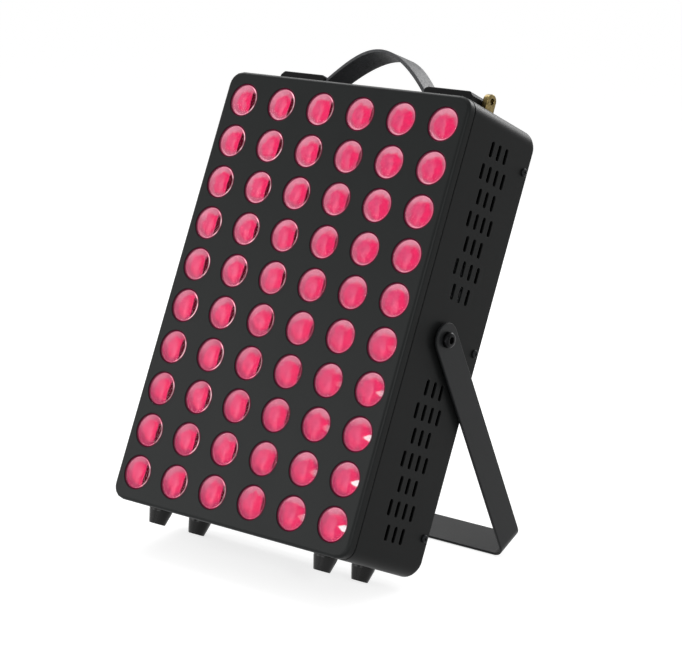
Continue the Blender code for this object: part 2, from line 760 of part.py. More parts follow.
def make_inlet():
    flange_round = 0.0012
    well_x, well_z, key = 0.0235, 0.0160, 0.0045
    well_depth, pin_size, pin_spacing, pin_step = 0.0140, (0.0040, 0.0110, 0.0020), 0.0070, 0.0030
    flange_rear = PANEL_DEPTH + FIT_GAP + INLET_FLANGE[1]
    inlet = box("power_inlet", INLET_FLANGE, black_plastic)
    place(inlet, (inlet_x, flange_rear - INLET_FLANGE[1] / 2, control_height))
    bevel_edges(inlet, flange_round)
    body = box("inlet_body", INLET_BODY)
    place(body, (inlet_x, flange_rear - SHEET - INLET_BODY[1] / 2, control_height))
    combine(inlet, body, "UNION")
    half_x, half_z = well_x / 2, well_z / 2
    keyed = [(-half_x, -half_z), (half_x, -half_z), (half_x, half_z - key), (half_x - key, half_z),
             (key - half_x, half_z), (-half_x, half_z - key)]
    well = plate("inlet_well", keyed, 2 * well_depth)
    place(well, (inlet_x, flange_rear, control_height), FACE_FRONT)
    combine(inlet, well)
    pin_depth = flange_rear - well_depth + pin_size[1] / 2 - SHEET / 2
    for n in (-1, 0, 1):
        pin = box(f"inlet_pin_{n + 2}", (pin_size[2], pin_size[1], pin_size[0]))
        height = control_height + (pin_step / 2 if n == 0 else -pin_step / 2)
        place(pin, (inlet_x + n * pin_spacing, pin_depth, height))
        combine(inlet, pin, "UNION")


# Fasteners

def round_screw(name, head, head_rise, shank, reach, material, sides=SMALL_SIDES):
    crown = 0.6
    profile = [(0.0, head_rise), (crown * head / 2, head_rise), (head / 2, 0.0),
               (shank / 2, 0.0), (shank / 2, -reach), (0.0, -reach)]
    return turned(name, profile, material, sides)


def make_side_screws():
    for side, sign in SIDES.items():
        for level, height in side_screw_heights.items():
            screw = round_screw(f"side_screw_{side}_{level}", SIDE_SCREW_HEAD, SIDE_SCREW_HEAD_RISE,
                                SMALL_SHANK, SMALL_SCREW_REACH, black_screw)
            place(screw, (sign * (half_width + FIT_GAP), side_screw_depth, height), FACE_SIDE[side])


# Folding bracket on its two pivots

pivot_depth = PANEL_DEPTH / 2 - PIVOT_AHEAD_OF_MIDDLE
pivot = Vector((0.0, pivot_depth, PIVOT_HEIGHT))
washer_inner = half_width + FIT_GAP
arm_inner = washer_inner + WASHER_THICKNESS + FIT_GAP
arm_outer = arm_inner + STAND_THICKNESS
foot_rear_depth = PANEL_DEPTH - FOOT_REAR_ROOM
sole_depth = foot_rear_depth + FOOT_BOTTOM / 2
sole_height = -half_height - FIT_GAP - FOOT_HEIGHT


# How high a point of the panel frame stands once the housing leans back.
def level_of(depth, height):
    return height * cos(TILT) - depth * sin(TILT)


# The leaning bracket is as long as brings its lower edge down to the floor under the rear feet.
stand_drop = level_of(pivot_depth, PIVOT_HEIGHT) - level_of(sole_depth, sole_height)
stand_reach = (stand_drop - STAND_WIDTH / 2 * cos(STAND_LEAN)) / sin(STAND_LEAN)
stand_angle = STAND_LEAN - TILT


def make_stand():
    inner_radius = STAND_BEND_RADIUS - STAND_THICKNESS
    top = STAND_WIDTH / 2
    outer_centre = (arm_outer - STAND_BEND_RADIUS, -stand_reach + STAND_BEND_RADIUS)
    bend_steps = 4
    end_steps = 8
    outer = [(arm_outer, top)] + arc(outer_centre, STAND_BEND_RADIUS, 0.0, -pi / 2, bend_steps)
    inner = arc(outer_centre, inner_radius, -pi / 2, 0.0, bend_steps) + [(arm_inner, top)]
    right = outer + [(-x, y) for x, y in reversed(outer)]
    left = [(-x, y) for x, y in reversed(inner)] + inner
    outline = right + left
    stand = plate("stand", outline, STAND_WIDTH, stand_steel)
    place(stand, pivot, (pi - stand_angle, 0.0, 0.0))
    smooth(stand)
    end_arc = arc((0.0, 0.0), STAND_WIDTH / 2, 0.0, pi, end_steps)
    below = -stand_reach - CUT_MARGIN
    trim_points = end_arc + [(-top, below), (top, below)]
    trim = plate("stand_end_trim", trim_points, 2 * arm_outer + 2 * CUT_MARGIN)
    place(trim, rotation=FACE_RIGHT, parent=stand)
    combine(stand, trim, "INTERSECT")
    hole = cylinder("stand_pivot_hole", PIVOT_HOLE, 2 * arm_outer + 2 * CUT_MARGIN)
    combine(stand, place(hole, rotation=FACE_RIGHT, parent=stand))


def make_pivots():
    nut_diameter = 0.0100
    for side, sign in SIDES.items():
        facing = FACE_SIDE[side]
        screw = round_screw(f"pivot_screw_{side}", PIVOT_HEAD, PIVOT_HEAD_RISE, PIVOT_SHANK,
                            arm_outer + FIT_GAP - half_width + RIVET_NUT_REACH, zinc, ROUND_SIDES)
        place(screw, (sign * (arm_outer + FIT_GAP), pivot_depth, PIVOT_HEIGHT), facing)
        socket = cylinder(f"pivot_socket_{side}", PIVOT_SOCKET, 2 * PIVOT_SOCKET_DEPTH, sides=6)
        combine(screw, place(socket, (0.0, 0.0, PIVOT_HEAD_RISE), parent=screw))
        bore = PIVOT_HOLE / 2
        washer_profile = [(bore, WASHER_THICKNESS), (WASHER_DIAMETER / 2, WASHER_THICKNESS),
                          (WASHER_DIAMETER / 2, 0.0), (bore, 0.0)]
        washer = turned(f"pivot_washer_{side}", washer_profile, nylon, closed=True)
        place(washer, (sign * washer_inner, pivot_depth, PIVOT_HEIGHT), facing)
        nut_profile = [(bore, 0.0), (nut_diameter / 2, 0.0), (nut_diameter / 2, -RIVET_NUT_REACH),
                       (bore, -RIVET_NUT_REACH)]
        nut = turned(f"rivet_nut_{side}", nut_profile, zinc, closed=True)
        place(nut, (sign * (half_width - SHEET - FIT_GAP), pivot_depth, PIVOT_HEIGHT), facing)


# Rubber feet, each held by a screw from below

foot_x = half_width - FOOT_SIDE_ROOM
foot_depths = {"front": FOOT_FRONT_ROOM, "rear": foot_rear_depth}


def make_feet():
    head_diameter, head_rise, well_diameter, well_depth = 0.0056, 0.0020, 0.0064, 0.0045
    bore = SMALL_HOLE / 2
    profile = [
        (bore, 0.0), (FOOT_TOP / 2, 0.0), (FOOT_BOTTOM / 2, -FOOT_HEIGHT), (well_diameter / 2, -FOOT_HEIGHT),
        (well_diameter / 2, well_depth - FOOT_HEIGHT), (bore, well_depth - FOOT_HEIGHT),
    ]
    for row, depth in foot_depths.items():
        for side, sign in SIDES.items():
            foot = turned(f"foot_{row}_{side}", profile, rubber, closed=True)
            place(foot, (sign * foot_x, depth, -half_height - FIT_GAP))
            screw = round_screw(f"foot_screw_{row}_{side}", head_diameter, head_rise, SMALL_SHANK,
                                FOOT_HEIGHT - well_depth + SMALL_SCREW_REACH, zinc)
            place(screw, (sign * foot_x, depth, -half_height - 2 * FIT_GAP - FOOT_HEIGHT + well_depth),
                  FACE_DOWN)


# Strap handle: a springy band that arches between two end caps

strap_depth = PANEL_DEPTH / 2 - STRAP_AHEAD_OF_MIDDLE
eye_depth = strap_depth + EYE_BEHIND_STRAP
cap_end = half_width - CAP_SIDE_ROOM
cap_start = cap_end - CAP_LENGTH
handle_screw_x = cap_end - HANDLE_SCREW_INSET
eye_x = cap_end + EYE_BESIDE_CAP
strap_half_span = cap_start + STRAP_RUN_IN
strap_end = cap_end - STRAP_RUN_IN


# Height of the band's underside over the housing at x: a cosine that settles softly.
def strap_height(x):
    swing = cos(pi / 2 * x / strap_half_span) if abs(x) < 2 * strap_half_span else -1.0
    return STRAP_RISE * (swing + hypot(swing, STRAP_SOFTENING_SHARE)) / 2


def make_strap():
    steps = 28
    ahead = 0.0005
    lower, upper = [], []
    for i in range(steps + 1):
        x = -strap_end + 2 * strap_end * i / steps
        slope = (strap_height(x + ahead) - strap_height(x - ahead)) / (2 * ahead)
        normal = Vector((-slope, 1.0)).normalized() * STRAP_THICKNESS
        lower.append((x, strap_height(x)))
        upper.append((x + normal.x, strap_height(x) + normal.y))
    strap = plate("handle_strap", lower + list(reversed(upper)), STRAP_WIDTH, strap_vinyl)
    smooth(strap)
    place(strap, (0.0, strap_depth, half_height + FIT_GAP), FACE_FRONT)
    hole = cylinder("strap_screw_holes", SMALL_HOLE, 4 * STRAP_THICKNESS, SMALL_SIDES)
    repeat(hole, (2 * handle_screw_x, 0.0, 0.0), 2)
    place(hole, (-handle_screw_x, strap_depth, half_height + STRAP_THICKNESS / 2))
    combine(strap, hole)


def make_handle_ends():
    edge_round = 0.0008
    head_diameter, head_rise = 0.0060, 0.0018
    for side, sign in SIDES.items():
        outline = [(cap_start, 0.0), (cap_end, 0.0), (cap_end, CAP_HEIGHT - CAP_CHAMFER),
                   (cap_end - CAP_CHAMFER, CAP_HEIGHT), (cap_start + CAP_CHAMFER, CAP_HEIGHT),
                   (cap_start, CAP_HEIGHT - CAP_CHAMFER / 2)]
        cap = plate(f"handle_cap_{side}", [(sign * x, z) for x, z in outline], CAP_WIDTH, black_plastic)
        place(cap, (0.0, strap_depth, half_height + FIT_GAP), FACE_FRONT)
        bevel_edges(cap, edge_round, segments=1, angle=radians(60.0))
        hollow_length = cap_end - cap_start - CAP_WALL
        hollow = box(f"handle_cap_hollow_{side}", (2 * hollow_length, STRAP_WIDTH + 2 * FIT_GAP,
                                                  2 * (CAP_HEIGHT - CAP_WALL)))
        place(hollow, (sign * (cap_end - CAP_WALL - hollow_length), strap_depth, half_height + FIT_GAP))
        combine(cap, hollow)
        screw = round_screw(f"handle_screw_{side}", head_diameter, head_rise, SMALL_SHANK,
                            STRAP_THICKNESS + SMALL_SCREW_REACH, zinc)
        place(screw, (sign * handle_screw_x, strap_depth,
                      half_height + FIT_GAP + strap_height(handle_screw_x) + STRAP_THICKNESS + FIT_GAP))


# Brass hanging eye: a lug with an arched top and a bore, on a stud through the housing's top

def make_hanging_eyes():
    eye_length, arch_radius, arch_height = 0.0046, 0.0050, 0.0088
    eye_bore = 0.0036
    arch_steps = 6
    stud_reach = 0.0060
    outline = arc((0.0, arch_height), arch_radius, 0.0, pi, arch_steps)
    outline += [(-arch_radius, 0.0), (arch_radius, 0.0)]
    for side, sign in SIDES.items():
        stand_place = (sign * eye_x, eye_depth, half_height + FIT_GAP)
        facing = (pi / 2, 0.0, sign * pi / 2)
        eye = place(plate(f"hanging_eye_{side}", outline, eye_length, brass), stand_place, facing)
        bore = cylinder(f"eye_bore_{side}", eye_bore, 2 * eye_length, SMALL_SIDES)
        place(bore, (0.0, arch_height, 0.0), FACE_UP, eye)
        stud = cylinder(f"eye_stud_{side}", SMALL_SHANK, 2 * stud_reach, SMALL_SIDES)
        place(stud, stand_place)
        combine(eye, bore)
        combine(eye, stud, "UNION")


def make_top_holes():
    holes = []
    for name, x, depth in (("handle", handle_screw_x, strap_depth), ("eye", eye_x, eye_depth)):
        holes.append(make_hole_pair(f"{name}_holes", 2 * x, SMALL_HOLE, 2 * CORNER_RADIUS,
                                    (-x, depth, half_height), FACE_UP))
    return holes


def make_foot_holes():
    return [make_hole_pair(f"foot_holes_{row}", 2 * foot_x, SMALL_HOLE, 2 * CORNER_RADIUS,
                           (-foot_x, depth, -half_height), FACE_UP)
            for row, depth in foot_depths.items()]


# Puts the floor at z = 0 and the middle of the object's outline over the origin.
def centre_on_floor():
    bpy.context.view_layer.update()
    graph = bpy.context.evaluated_depsgraph_get()
    corners = []
    for obj in model.objects:
        if obj.type == "MESH":
            evaluated = obj.evaluated_get(graph)
            corners += [evaluated.matrix_world @ vertex.co for vertex in evaluated.data.vertices]
    low = [min(corner[axis] for corner in corners) for axis in range(3)]
    high = [max(corner[axis] for corner in corners) for axis in range(3)]
    assembly.location = (-(low[0] + high[0]) / 2, -(low[1] + high[1]) / 2, -low[2])
    bpy.context.view_layer.update()
    print("size", [round(h - l, 4) for h, l in zip(high, low)])


def build():
    side_screw_holes = make_side_screw_holes()
    pivot_hole = make_cross_hole("housing_pivot_hole", PIVOT_HOLE, pivot_depth, PIVOT_HEIGHT, ROUND_SIDES)
    openings = {level: make_fan_hole(level, height) for level, height in fan_heights.items()}
    fan_holes = {level: make_fan_screw_holes(level, height) for level, height in fan_heights.items()}
    make_front_panel(make_lens_hole_cutter())
    make_housing(make_vent_cutters() + side_screw_holes + [pivot_hole] + make_top_holes()
                 + make_foot_holes())
    make_rear_cover(side_screw_holes + list(openings.values()) + list(fan_holes.values())
                    + make_switch_cutters() + [make_inlet_cutter()])
    make_lamp_boards()
    make_heat_sink()
    make_rails()
    for level, height in fan_heights.items():
        make_fan_frame(level, height, openings[level], fan_holes[level])
        make_fan_rotor(level, height)
        make_finger_guard(level, height)
    make_drivers()
    make_switches()
    make_inlet()
    make_side_screws()
    make_stand()
    make_pivots()
    make_feet()
    make_strap()
    make_handle_ends()
    make_hanging_eyes()
    centre_on_floor()


build()
print("bracket reach", round(stand_reach, 5))
print("panel frame origin", [round(v, 5) for v in panel.matrix_world.translation])
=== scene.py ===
import json
import bmesh
import bpy
import numpy as np
from math import cos, pi, radians, sin
from mathutils import Matrix, Vector


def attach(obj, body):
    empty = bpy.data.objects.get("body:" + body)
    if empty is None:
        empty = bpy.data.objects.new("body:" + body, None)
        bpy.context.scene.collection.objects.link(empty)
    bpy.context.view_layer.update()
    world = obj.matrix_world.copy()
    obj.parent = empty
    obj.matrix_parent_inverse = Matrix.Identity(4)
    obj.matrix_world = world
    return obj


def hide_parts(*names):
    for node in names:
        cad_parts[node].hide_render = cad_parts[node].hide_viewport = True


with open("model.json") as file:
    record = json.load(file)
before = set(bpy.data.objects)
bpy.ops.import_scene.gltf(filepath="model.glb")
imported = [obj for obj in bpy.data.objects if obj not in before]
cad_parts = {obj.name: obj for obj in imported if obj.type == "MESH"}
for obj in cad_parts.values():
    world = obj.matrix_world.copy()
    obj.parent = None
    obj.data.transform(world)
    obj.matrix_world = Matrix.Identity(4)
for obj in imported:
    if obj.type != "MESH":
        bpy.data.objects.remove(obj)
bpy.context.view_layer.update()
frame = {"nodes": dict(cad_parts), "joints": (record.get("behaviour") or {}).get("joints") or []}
nodes = frame["nodes"]
joints = {joint["name"]: joint for joint in frame["joints"]}
print("frame loaded:", len(nodes), "nodes")


# vectors brought to length 1
def unit(vectors):
    return vectors / np.linalg.norm(vectors, axis=-1, keepdims=True)


# The housing leans back. Its own frame has x to the right, y to the rear and z up along it,
# in millimetres, with its origin in the middle of the front face.
pivotPlace = {"y": 37.5, "z": 1.0}
rightAxis = np.array((1.0, 0.0, 0.0))
rearAxis = unit(np.array(joints["upper_fan_spin"]["axis"]))
upAxis = np.cross(rightAxis, rearAxis)
panelAxes = np.stack((rightAxis, rearAxis, upAxis))
pivotPoint = np.array(joints["bracket_pivot"]["pos_m"])
panelOrigin = pivotPoint - 0.001 * (pivotPlace["y"] * rearAxis + pivotPlace["z"] * upAxis)
rearward = (0.0, 1.0, 0.0)
sides = {"right": 1, "left": -1}


# place in metres = origin + 0.001 * (x right + y rear + z up)
def panelToWorld(points):
    return panelOrigin + 0.001 * (np.asarray(points, float) @ panelAxes)


def worldToPanel(points):
    return (points - panelOrigin) @ panelAxes.T * 1000.0


# Shape tools: every shape is a grid of points, rows by columns, in millimetres

# square faces between neighbouring rows and columns of a grid, wrapped round where asked
def gridQuads(rows, cols, wrapRows=False, wrapCols=True):
    i = np.arange(rows if wrapRows else rows - 1)[:, None]
    j = np.arange(cols if wrapCols else cols - 1)[None, :]
    nextRow, nextCol = (i + 1) % rows, (j + 1) % cols
    corners = (i * cols + j, i * cols + nextCol, nextRow * cols + nextCol, nextRow * cols + j)
    return np.stack([np.broadcast_to(c, (i.size, j.size)) for c in corners], -1).reshape(-1, 4)


# a grid of points (rows, columns, 3) as a part: its points and its faces
def gridPart(grid, wrapRows=False):
    rows, cols = grid.shape[:2]
    return grid.reshape(-1, 3), gridQuads(rows, cols, wrapRows)


def joinParts(parts):
    starts = np.cumsum([0] + [len(points) for points, faces in parts[:-1]])
    return (np.concatenate([points for points, faces in parts]),
            np.concatenate([faces + start for (points, faces), start in zip(parts, starts)]))


# rows of flat points (x, z) and one y for each row, as a grid
def deepRows(flat, depth):
    flat = np.asarray(flat)
    y = np.broadcast_to(np.asarray(depth, float)[:, None, None], flat.shape[:2] + (1,))
    return np.concatenate((flat[..., :1], y, flat[..., 1:]), -1)


# a grid with both ends closed in the middle of their rows
def closeEnds(grid):
    first, last = (np.broadcast_to(row.mean(0), row.shape)[None] for row in grid[[0, -1]])
    return np.concatenate((first, grid, last))


def circleAngles(count):
    return np.linspace(0.0, 2 * pi, count, endpoint=False)


# a rounded edge in steps: how far each step lies inside the outline, and how far below the
# face: edge * (1 - sin a) and edge * (1 - cos a), with a from 0 to a quarter turn
def edgeSteps(edge, steps):
    return [(edge * (1 - sin(a)), edge * (1 - cos(a))) for a in np.linspace(0.0, pi / 2, steps + 1)]


# a point and a direction for each step round a rectangle with round corners: a point of the
# outline is near * core + radius * away. edgeX and edgeZ are stops along the sides, -1 to 1
def rimDirections(steps=6, edgeX=(-1.0, 1.0), edgeZ=(-1.0, 1.0)):
    edgeX, edgeZ = np.asarray(edgeX, float), np.asarray(edgeZ, float)
    turn = np.linspace(0.0, pi / 2, steps + 1)[1:-1]
    near, away = [], []
    for side, stops in enumerate((edgeZ, -edgeX, -edgeZ, edgeX)):
        angle = side * pi / 2
        out = np.array((cos(angle), sin(angle)))
        along = np.array((-sin(angle), cos(angle)))
        corner = np.sign(np.round(out + along))
        near += [out + np.outer(stops, np.abs(along)), np.tile(corner, (steps - 1, 1))]
        away += [np.tile(out, (len(stops), 1)),
                 np.stack((np.cos(angle + turn), np.sin(angle + turn)), 1)]
    return np.concatenate(near), np.concatenate(away)


# rings one after another, each (half x, half z, corner radius, y), as rows of a grid
def rimRings(rings, rim, centre=(0.0, 0.0)):
    near, away = rim
    rings = np.asarray(rings, float)
    half, radius = rings[:, None, :2], rings[:, None, 2:3]
    return deepRows(near * (half - radius) + radius * away + np.asarray(centre), rings[:, 3])


# one ring, drawn in from an outline by an inset
def insetRing(half, corner, inset, y):
    return half[0] - inset, half[1] - inset, corner - inset, y


# rings of one half, and the same rings back on the other side of the middle
def mirrored(rings):
    return rings + [(*ring[:-1], -ring[-1]) for ring in reversed(rings)]


# every corner of a polyline becomes an arc that touches both its sides
def roundCorners(points, radius, steps=4, closed=False):
    points = np.asarray(points, float)
    radius = np.broadcast_to(np.asarray(radius, float), len(points)).copy()
    if not closed:
        radius[[0, -1]] = 0.0
    back, ahead = np.roll(points, 1, 0) - points, np.roll(points, -1, 0) - points
    shorter = np.minimum(np.linalg.norm(back, axis=1), np.linalg.norm(ahead, axis=1))
    back, ahead = unit(back), unit(ahead)
    half = np.arccos(np.clip((back * ahead).sum(1), -1.0, 1.0)) / 2
    reach = np.minimum(radius / np.tan(half), 0.499 * shorter)
    # a conic arc from a to b with the corner between them, weighted by the sine of half its angle
    s = np.linspace(0.0, 1.0, steps + 1)[None, :, None]
    a = (points + reach[:, None] * back)[:, None]
    b = (points + reach[:, None] * ahead)[:, None]
    pull = 2 * np.sin(half)[:, None, None] * s * (1 - s)
    arcs = (1 - s) ** 2 * a + pull * points[:, None] + s ** 2 * b
    arcs = arcs / ((1 - s) ** 2 + pull + s ** 2)
    keep = np.ones((len(points), steps + 1), bool)
    keep[radius == 0.0, 1:] = False
    return arcs[keep]


# a shape round an axis whose rings may have any outline: each ring is (outline as a share of
# the radius at each angle, radius, height along the axis)
def starPart(rings, centre, axis, count=48, wrapRows=False):
    axis = unit(np.asarray(axis, float))
    helper = np.array((0.0, 0.0, 1.0)) if abs(axis[2]) < 0.9 else np.array((0.0, 1.0, 0.0))
    first = unit(np.cross(helper, axis))
    angle = circleAngles(count)
    out = np.cos(angle)[:, None] * first + np.sin(angle)[:, None] * np.cross(axis, first)
    rows = [np.asarray(centre) + (radius * outline(angle))[:, None] * out + height * axis
            for outline, radius, height in rings]
    return gridPart(np.stack(rows), wrapRows)


# a circle's outline is 1 at every angle
circleOutline = np.ones_like


# a turned shape: each point of the profile is (radius, height along the axis)
def turnedPart(profile, centre, axis, count=48, wrapRows=False):
    rings = [(circleOutline, radius, height) for radius, height in profile]
    return starPart(rings, centre, axis, count, wrapRows)


# the profile of a disc: out along one face, over its rim and back, with the corners rounded
def discProfile(radius, low, high, rounding, steps=4, bore=0.0):
    corners = [(bore, low), (radius, low), (radius, high), (bore, high)]
    return roundCorners(corners, rounding, steps, closed=bore > 0)


# a wire along a path: each ring lies square to the path, and open ends close in a dome
def tubePart(path, radius, closed=False):
    path = np.asarray(path, float)
    ahead = np.roll(path, -1, 0) - np.roll(path, 1, 0) if closed else np.gradient(path, axis=0)
    ahead = unit(ahead)
    side = unit(np.cross(ahead, rearward))
    lift = np.cross(side, ahead)
    size = np.full(len(path), float(radius))
    if not closed:
        bow = np.linspace(0.0, pi / 2, 4)
        start = path[0] - radius * np.outer(np.cos(bow), ahead[0])
        end = path[-1] + radius * np.outer(np.sin(bow), ahead[-1])
        size = np.concatenate((radius * np.sin(bow), size, radius * np.cos(bow)))
        path = np.concatenate((start, path, end))
        side, lift = (np.pad(v, ((4, 4), (0, 0)), "edge") for v in (side, lift))
    angle = circleAngles(12)[None, :, None]
    ring = np.cos(angle) * side[:, None] + np.sin(angle) * lift[:, None]
    return gridPart(path[:, None] + size[:, None, None] * ring, wrapRows=closed)


def circlePath(radius, centre, steps=72):
    angle = circleAngles(steps)
    x, y, z = centre
    return np.stack((x + radius * np.cos(angle), y + 0 * angle, z + radius * np.sin(angle)), 1)


# a block with round corners seen along y and rounded edges front and rear
def blockPart(half, centre, corner, edge):
    front = [insetRing(half[::2], corner, inset, rise - half[1])
             for inset, rise in edgeSteps(edge, 4)]
    grid = rimRings(mirrored([(0.0, 0.0, 0.0, -half[1])] + front), rimDirections(4))
    return gridPart(grid + np.asarray(centre))


# a flat outline (a, b) carried across from -half to half, with rounded edges and its faces
# closed in the middle, as a grid (a, across, b)
def slabGrid(outline, half, edge, steps):
    middle = outline.mean(0)
    centred = outline - middle
    size = np.abs(centred).max(0)
    rows = [(0 * centred, -half)]
    rows += [(centred * (1 - inset / size), rise - half) for inset, rise in edgeSteps(edge, steps)]
    rows = mirrored(rows)
    return deepRows([flat + middle for flat, across in rows], [across for flat, across in rows])


# Sheets with holes. Seen from outside a sheet has coordinates a and b, and depth into it.
# Each hole sits in a cell of the sheet's own lines: the cell's rim and the hole's outline
# are the two ends of a strip that goes down the hole and comes back on the inner face.

# the points round a cell, each of its sides without its last point
def cellRim(aLines, bLines):
    grid = np.stack(np.meshgrid(aLines, bLines, indexing="ij"), -1)
    return np.concatenate((grid[:-1, 0], grid[-1, :-1], grid[:0:-1, -1], grid[0, :0:-1]))


# each point moved to radius away from the nearest point of a rectangle of half size core
def pushOut(points, core, radius):
    near = np.clip(points, -np.asarray(core, float), np.asarray(core, float))
    return near + radius * unit(points - near)


# from a rim on the outer face along rings (corner radius, depth) and back to it on the inner
def borderGrid(rim, core, rings, outer, inner):
    flat = [rim] + [pushOut(rim, core, radius) for radius, depth in rings] + [rim]
    return deepRows(flat, [outer] + [depth for radius, depth in rings] + [inner])


# the strip of one hole, as a grid (a, depth, b); its inner edge is broken by 0.1 mm
def holeStrip(rim, centre, core, radius, s):
    rings = [(radius + s["piercedEdge"] + s["holeMargin"], 0.0)]
    rings += [(radius + inset, depth) for inset, depth in edgeSteps(s["piercedEdge"], 3)]
    rings += [(radius, s["sheet"] - 0.1), (radius + 0.1, s["sheet"])]
    strip = borderGrid(rim - np.asarray(centre), core, rings, 0.0, s["sheet"])
    return strip + (centre[0], 0.0, centre[1])


def subdivide(stops, steps):
    stops = np.asarray(stops, float)
    share = np.arange(steps) / steps
    inner = (stops[:-1, None] + share * np.diff(stops)[:, None]).ravel()
    return np.append(inner, stops[-1])


# Turning parts into pieces of the object

# welds seams and poles, points faces outwards and shades smooth up to the given angle
def makeMesh(name, parts, smoothAngle):
    points, faces = joinParts(parts)
    mesh = bpy.data.meshes.new(name)
    mesh.vertices.add(len(points))
    mesh.vertices.foreach_set("co", panelToWorld(points).astype(np.float32).ravel())
    mesh.loops.add(faces.size)
    mesh.loops.foreach_set("vertex_index", faces.ravel().astype(np.int32))
    mesh.polygons.add(len(faces))
    mesh.polygons.foreach_set("loop_start", np.arange(0, faces.size, 4, dtype=np.int32))
    mesh.update(calc_edges=True)
    bm = bmesh.new()
    bm.from_mesh(mesh)
    bmesh.ops.remove_doubles(bm, verts=bm.verts, dist=0.000002)
    bmesh.ops.dissolve_degenerate(bm, edges=bm.edges, dist=0.0000005)
    bmesh.ops.recalc_face_normals(bm, faces=bm.faces)
    bm.to_mesh(mesh)
    bm.free()
    mesh.shade_smooth()
    mesh.set_sharp_from_angle(angle=radians(smoothAngle))
    return mesh


def addObject(name, data):
    thing = bpy.data.objects.new(name, data)
    bpy.context.scene.collection.objects.link(thing)
    return thing


def addPiece(name, parts, material, standsFor=None, body="panel", smoothAngle=40.0,
             weigh=True):
    mesh = makeMesh(name, parts, smoothAngle)
    mesh.materials.append(material)
    piece = addObject(name, mesh)
    if weigh:
        even = piece.modifiers.new("flat faces stay flat", "WEIGHTED_NORMAL")
        even.keep_sharp = True
        even.weight = 80
    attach(piece, body)
    if standsFor:
        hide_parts(standsFor)
    return piece


# Materials. A value given to a node may be a number or the output of another node

# an sRGB hex colour in linear light, each channel c: ((c + 0.055) / 1.055) ** 2.4
def hexToLinear(colour):
    channels = np.array([int(colour[i:i + 2], 16) for i in (1, 3, 5)]) / 255
    linear = np.where(channels <= 0.04045, channels / 12.92, ((channels + 0.055) / 1.055) ** 2.4)
    return (*[float(c) for c in linear], 1.0)


# an output is linked to the input of its name, anything else is set on it
def connect(node, inputs):
    for key, value in inputs.items():
        if isinstance(value, bpy.types.NodeSocket):
            value.id_data.links.new(value, node.inputs[key])
        else:
            node.inputs[key].default_value = value


def addNode(tree, kind, inputs=None, **settings):
    node = tree.nodes.new("ShaderNode" + kind)
    for key, value in settings.items():
        setattr(node, key, value)
    connect(node, inputs or {})
    return node


# adds a node to the tree of the outputs it takes, and gives one of its own outputs
def output(kind, inputs, which=0, **settings):
    tree = next(v.id_data for v in inputs.values() if isinstance(v, bpy.types.NodeSocket))
    return addNode(tree, kind, inputs, **settings).outputs[which]


# a material's shader and the place on the object, in metres
def startMaterial(name):
    material = bpy.data.materials.new(name)
    material.use_nodes = True
    shader = material.node_tree.nodes["Principled BSDF"]
    return material, shader, addNode(material.node_tree, "TexCoord").outputs["Object"]


# pattern size in millimetres as a texture scale per metre
def scaleFor(size):
    return 1000.0 / size


def noise(place, size, detail, roughness=0.5, which="Fac"):
    return output("TexNoise", {"Vector": place, "Scale": scaleFor(size), "Detail": detail,
                               "Roughness": roughness}, which)


def remap(value, toMin, toMax, fromMin=0.0, fromMax=1.0, **settings):
    return output("MapRange", {"Value": value, "From Min": fromMin, "From Max": fromMax,
                               "To Min": toMin, "To Max": toMax}, **settings)


def bump(height, strength, distance):
    return output("Bump", {"Height": height, "Strength": strength, "Distance": distance})


# one operation over all values, from left to right
def maths(operation, total, *values):
    for value in values:
        total = output("Math", {0: total, 1: value}, operation=operation)
    return total


def times(*values):
    return maths("MULTIPLY", *values)


def sumOf(*values):
    return maths("ADD", *values)


# from 0 to 1 while a value goes from one number to another, softly at both ends
def step(value, start, end):
    return remap(value, 0.0, 1.0, start, end, interpolation_type="SMOOTHSTEP")


# from one hex colour to a second while the factor goes from one end of a span to the other
def colourRamp(factor, colours, span=(0.3, 0.7)):
    ramp = addNode(factor.id_data, "ValToRGB", {"Fac": factor})
    for element, position, colour in zip(ramp.color_ramp.elements, span, colours):
        element.position = position
        element.color = hexToLinear(colour)
    return ramp.outputs["Color"]


# tone and gloss follow one pattern within its span, and the relief follows a second one
def surface(shader, pattern, relief, colours, roughness, spread, span=(0.3, 0.7), level=0.5,
            metallic=0.0):
    gloss = remap(pattern, roughness - spread, roughness + spread, *span)
    connect(shader, {"Base Color": colourRamp(pattern, colours, span), "Roughness": gloss,
                     "Normal": relief, "Specular IOR Level": level, "Metallic": metallic})


# Powder coat on steel, satin: the eye sees a thin baked skin with a fine pebble, slightly
# uneven in its black and in its gloss
coat = {"cloud": 45.0, "pebble": 0.9, "span": (0.35, 0.65), "spread": 0.04, "bump": 0.12,
        "pebbleDepth": 0.00008}


def powderCoat(name, darker, lighter, roughness, level):
    material, shader, place = startMaterial(name)
    pebble = noise(place, coat["pebble"], 2.0, 0.6)
    pattern = times(sumOf(noise(place, coat["cloud"], 3.0), pebble), 0.5)
    surface(shader, pattern, bump(pebble, coat["bump"], coat["pebbleDepth"]), (darker, lighter),
            roughness, coat["spread"], coat["span"], level)
    return material


# three copies of one satin coat: the housing's is painted darker and duller, as shade on its sides
# and rear, and the front sheet's and the bracket's lighter and glossier, as painted light
shadedHousingCoat = powderCoat("satinPowderCoat", "#131414", "#171818", 0.40, 0.07)
litFrontCoat = powderCoat("satinPowderCoatLitFront", "#161818", "#1A1C1C", 0.38, 0.12)
litBracketCoat = powderCoat("satinPowderCoatLitBracket", "#191A1B", "#1F2021", 0.36, 0.12)

# Moulded black plastic and rubber: the eye sees the soft shine of a moulded skin, with a faint
# flow mottle in tone and gloss and the small cells of the mould's spark grain
moulded = {"mottle": 14.0, "spread": 0.05, "grainDepth": 0.00006}


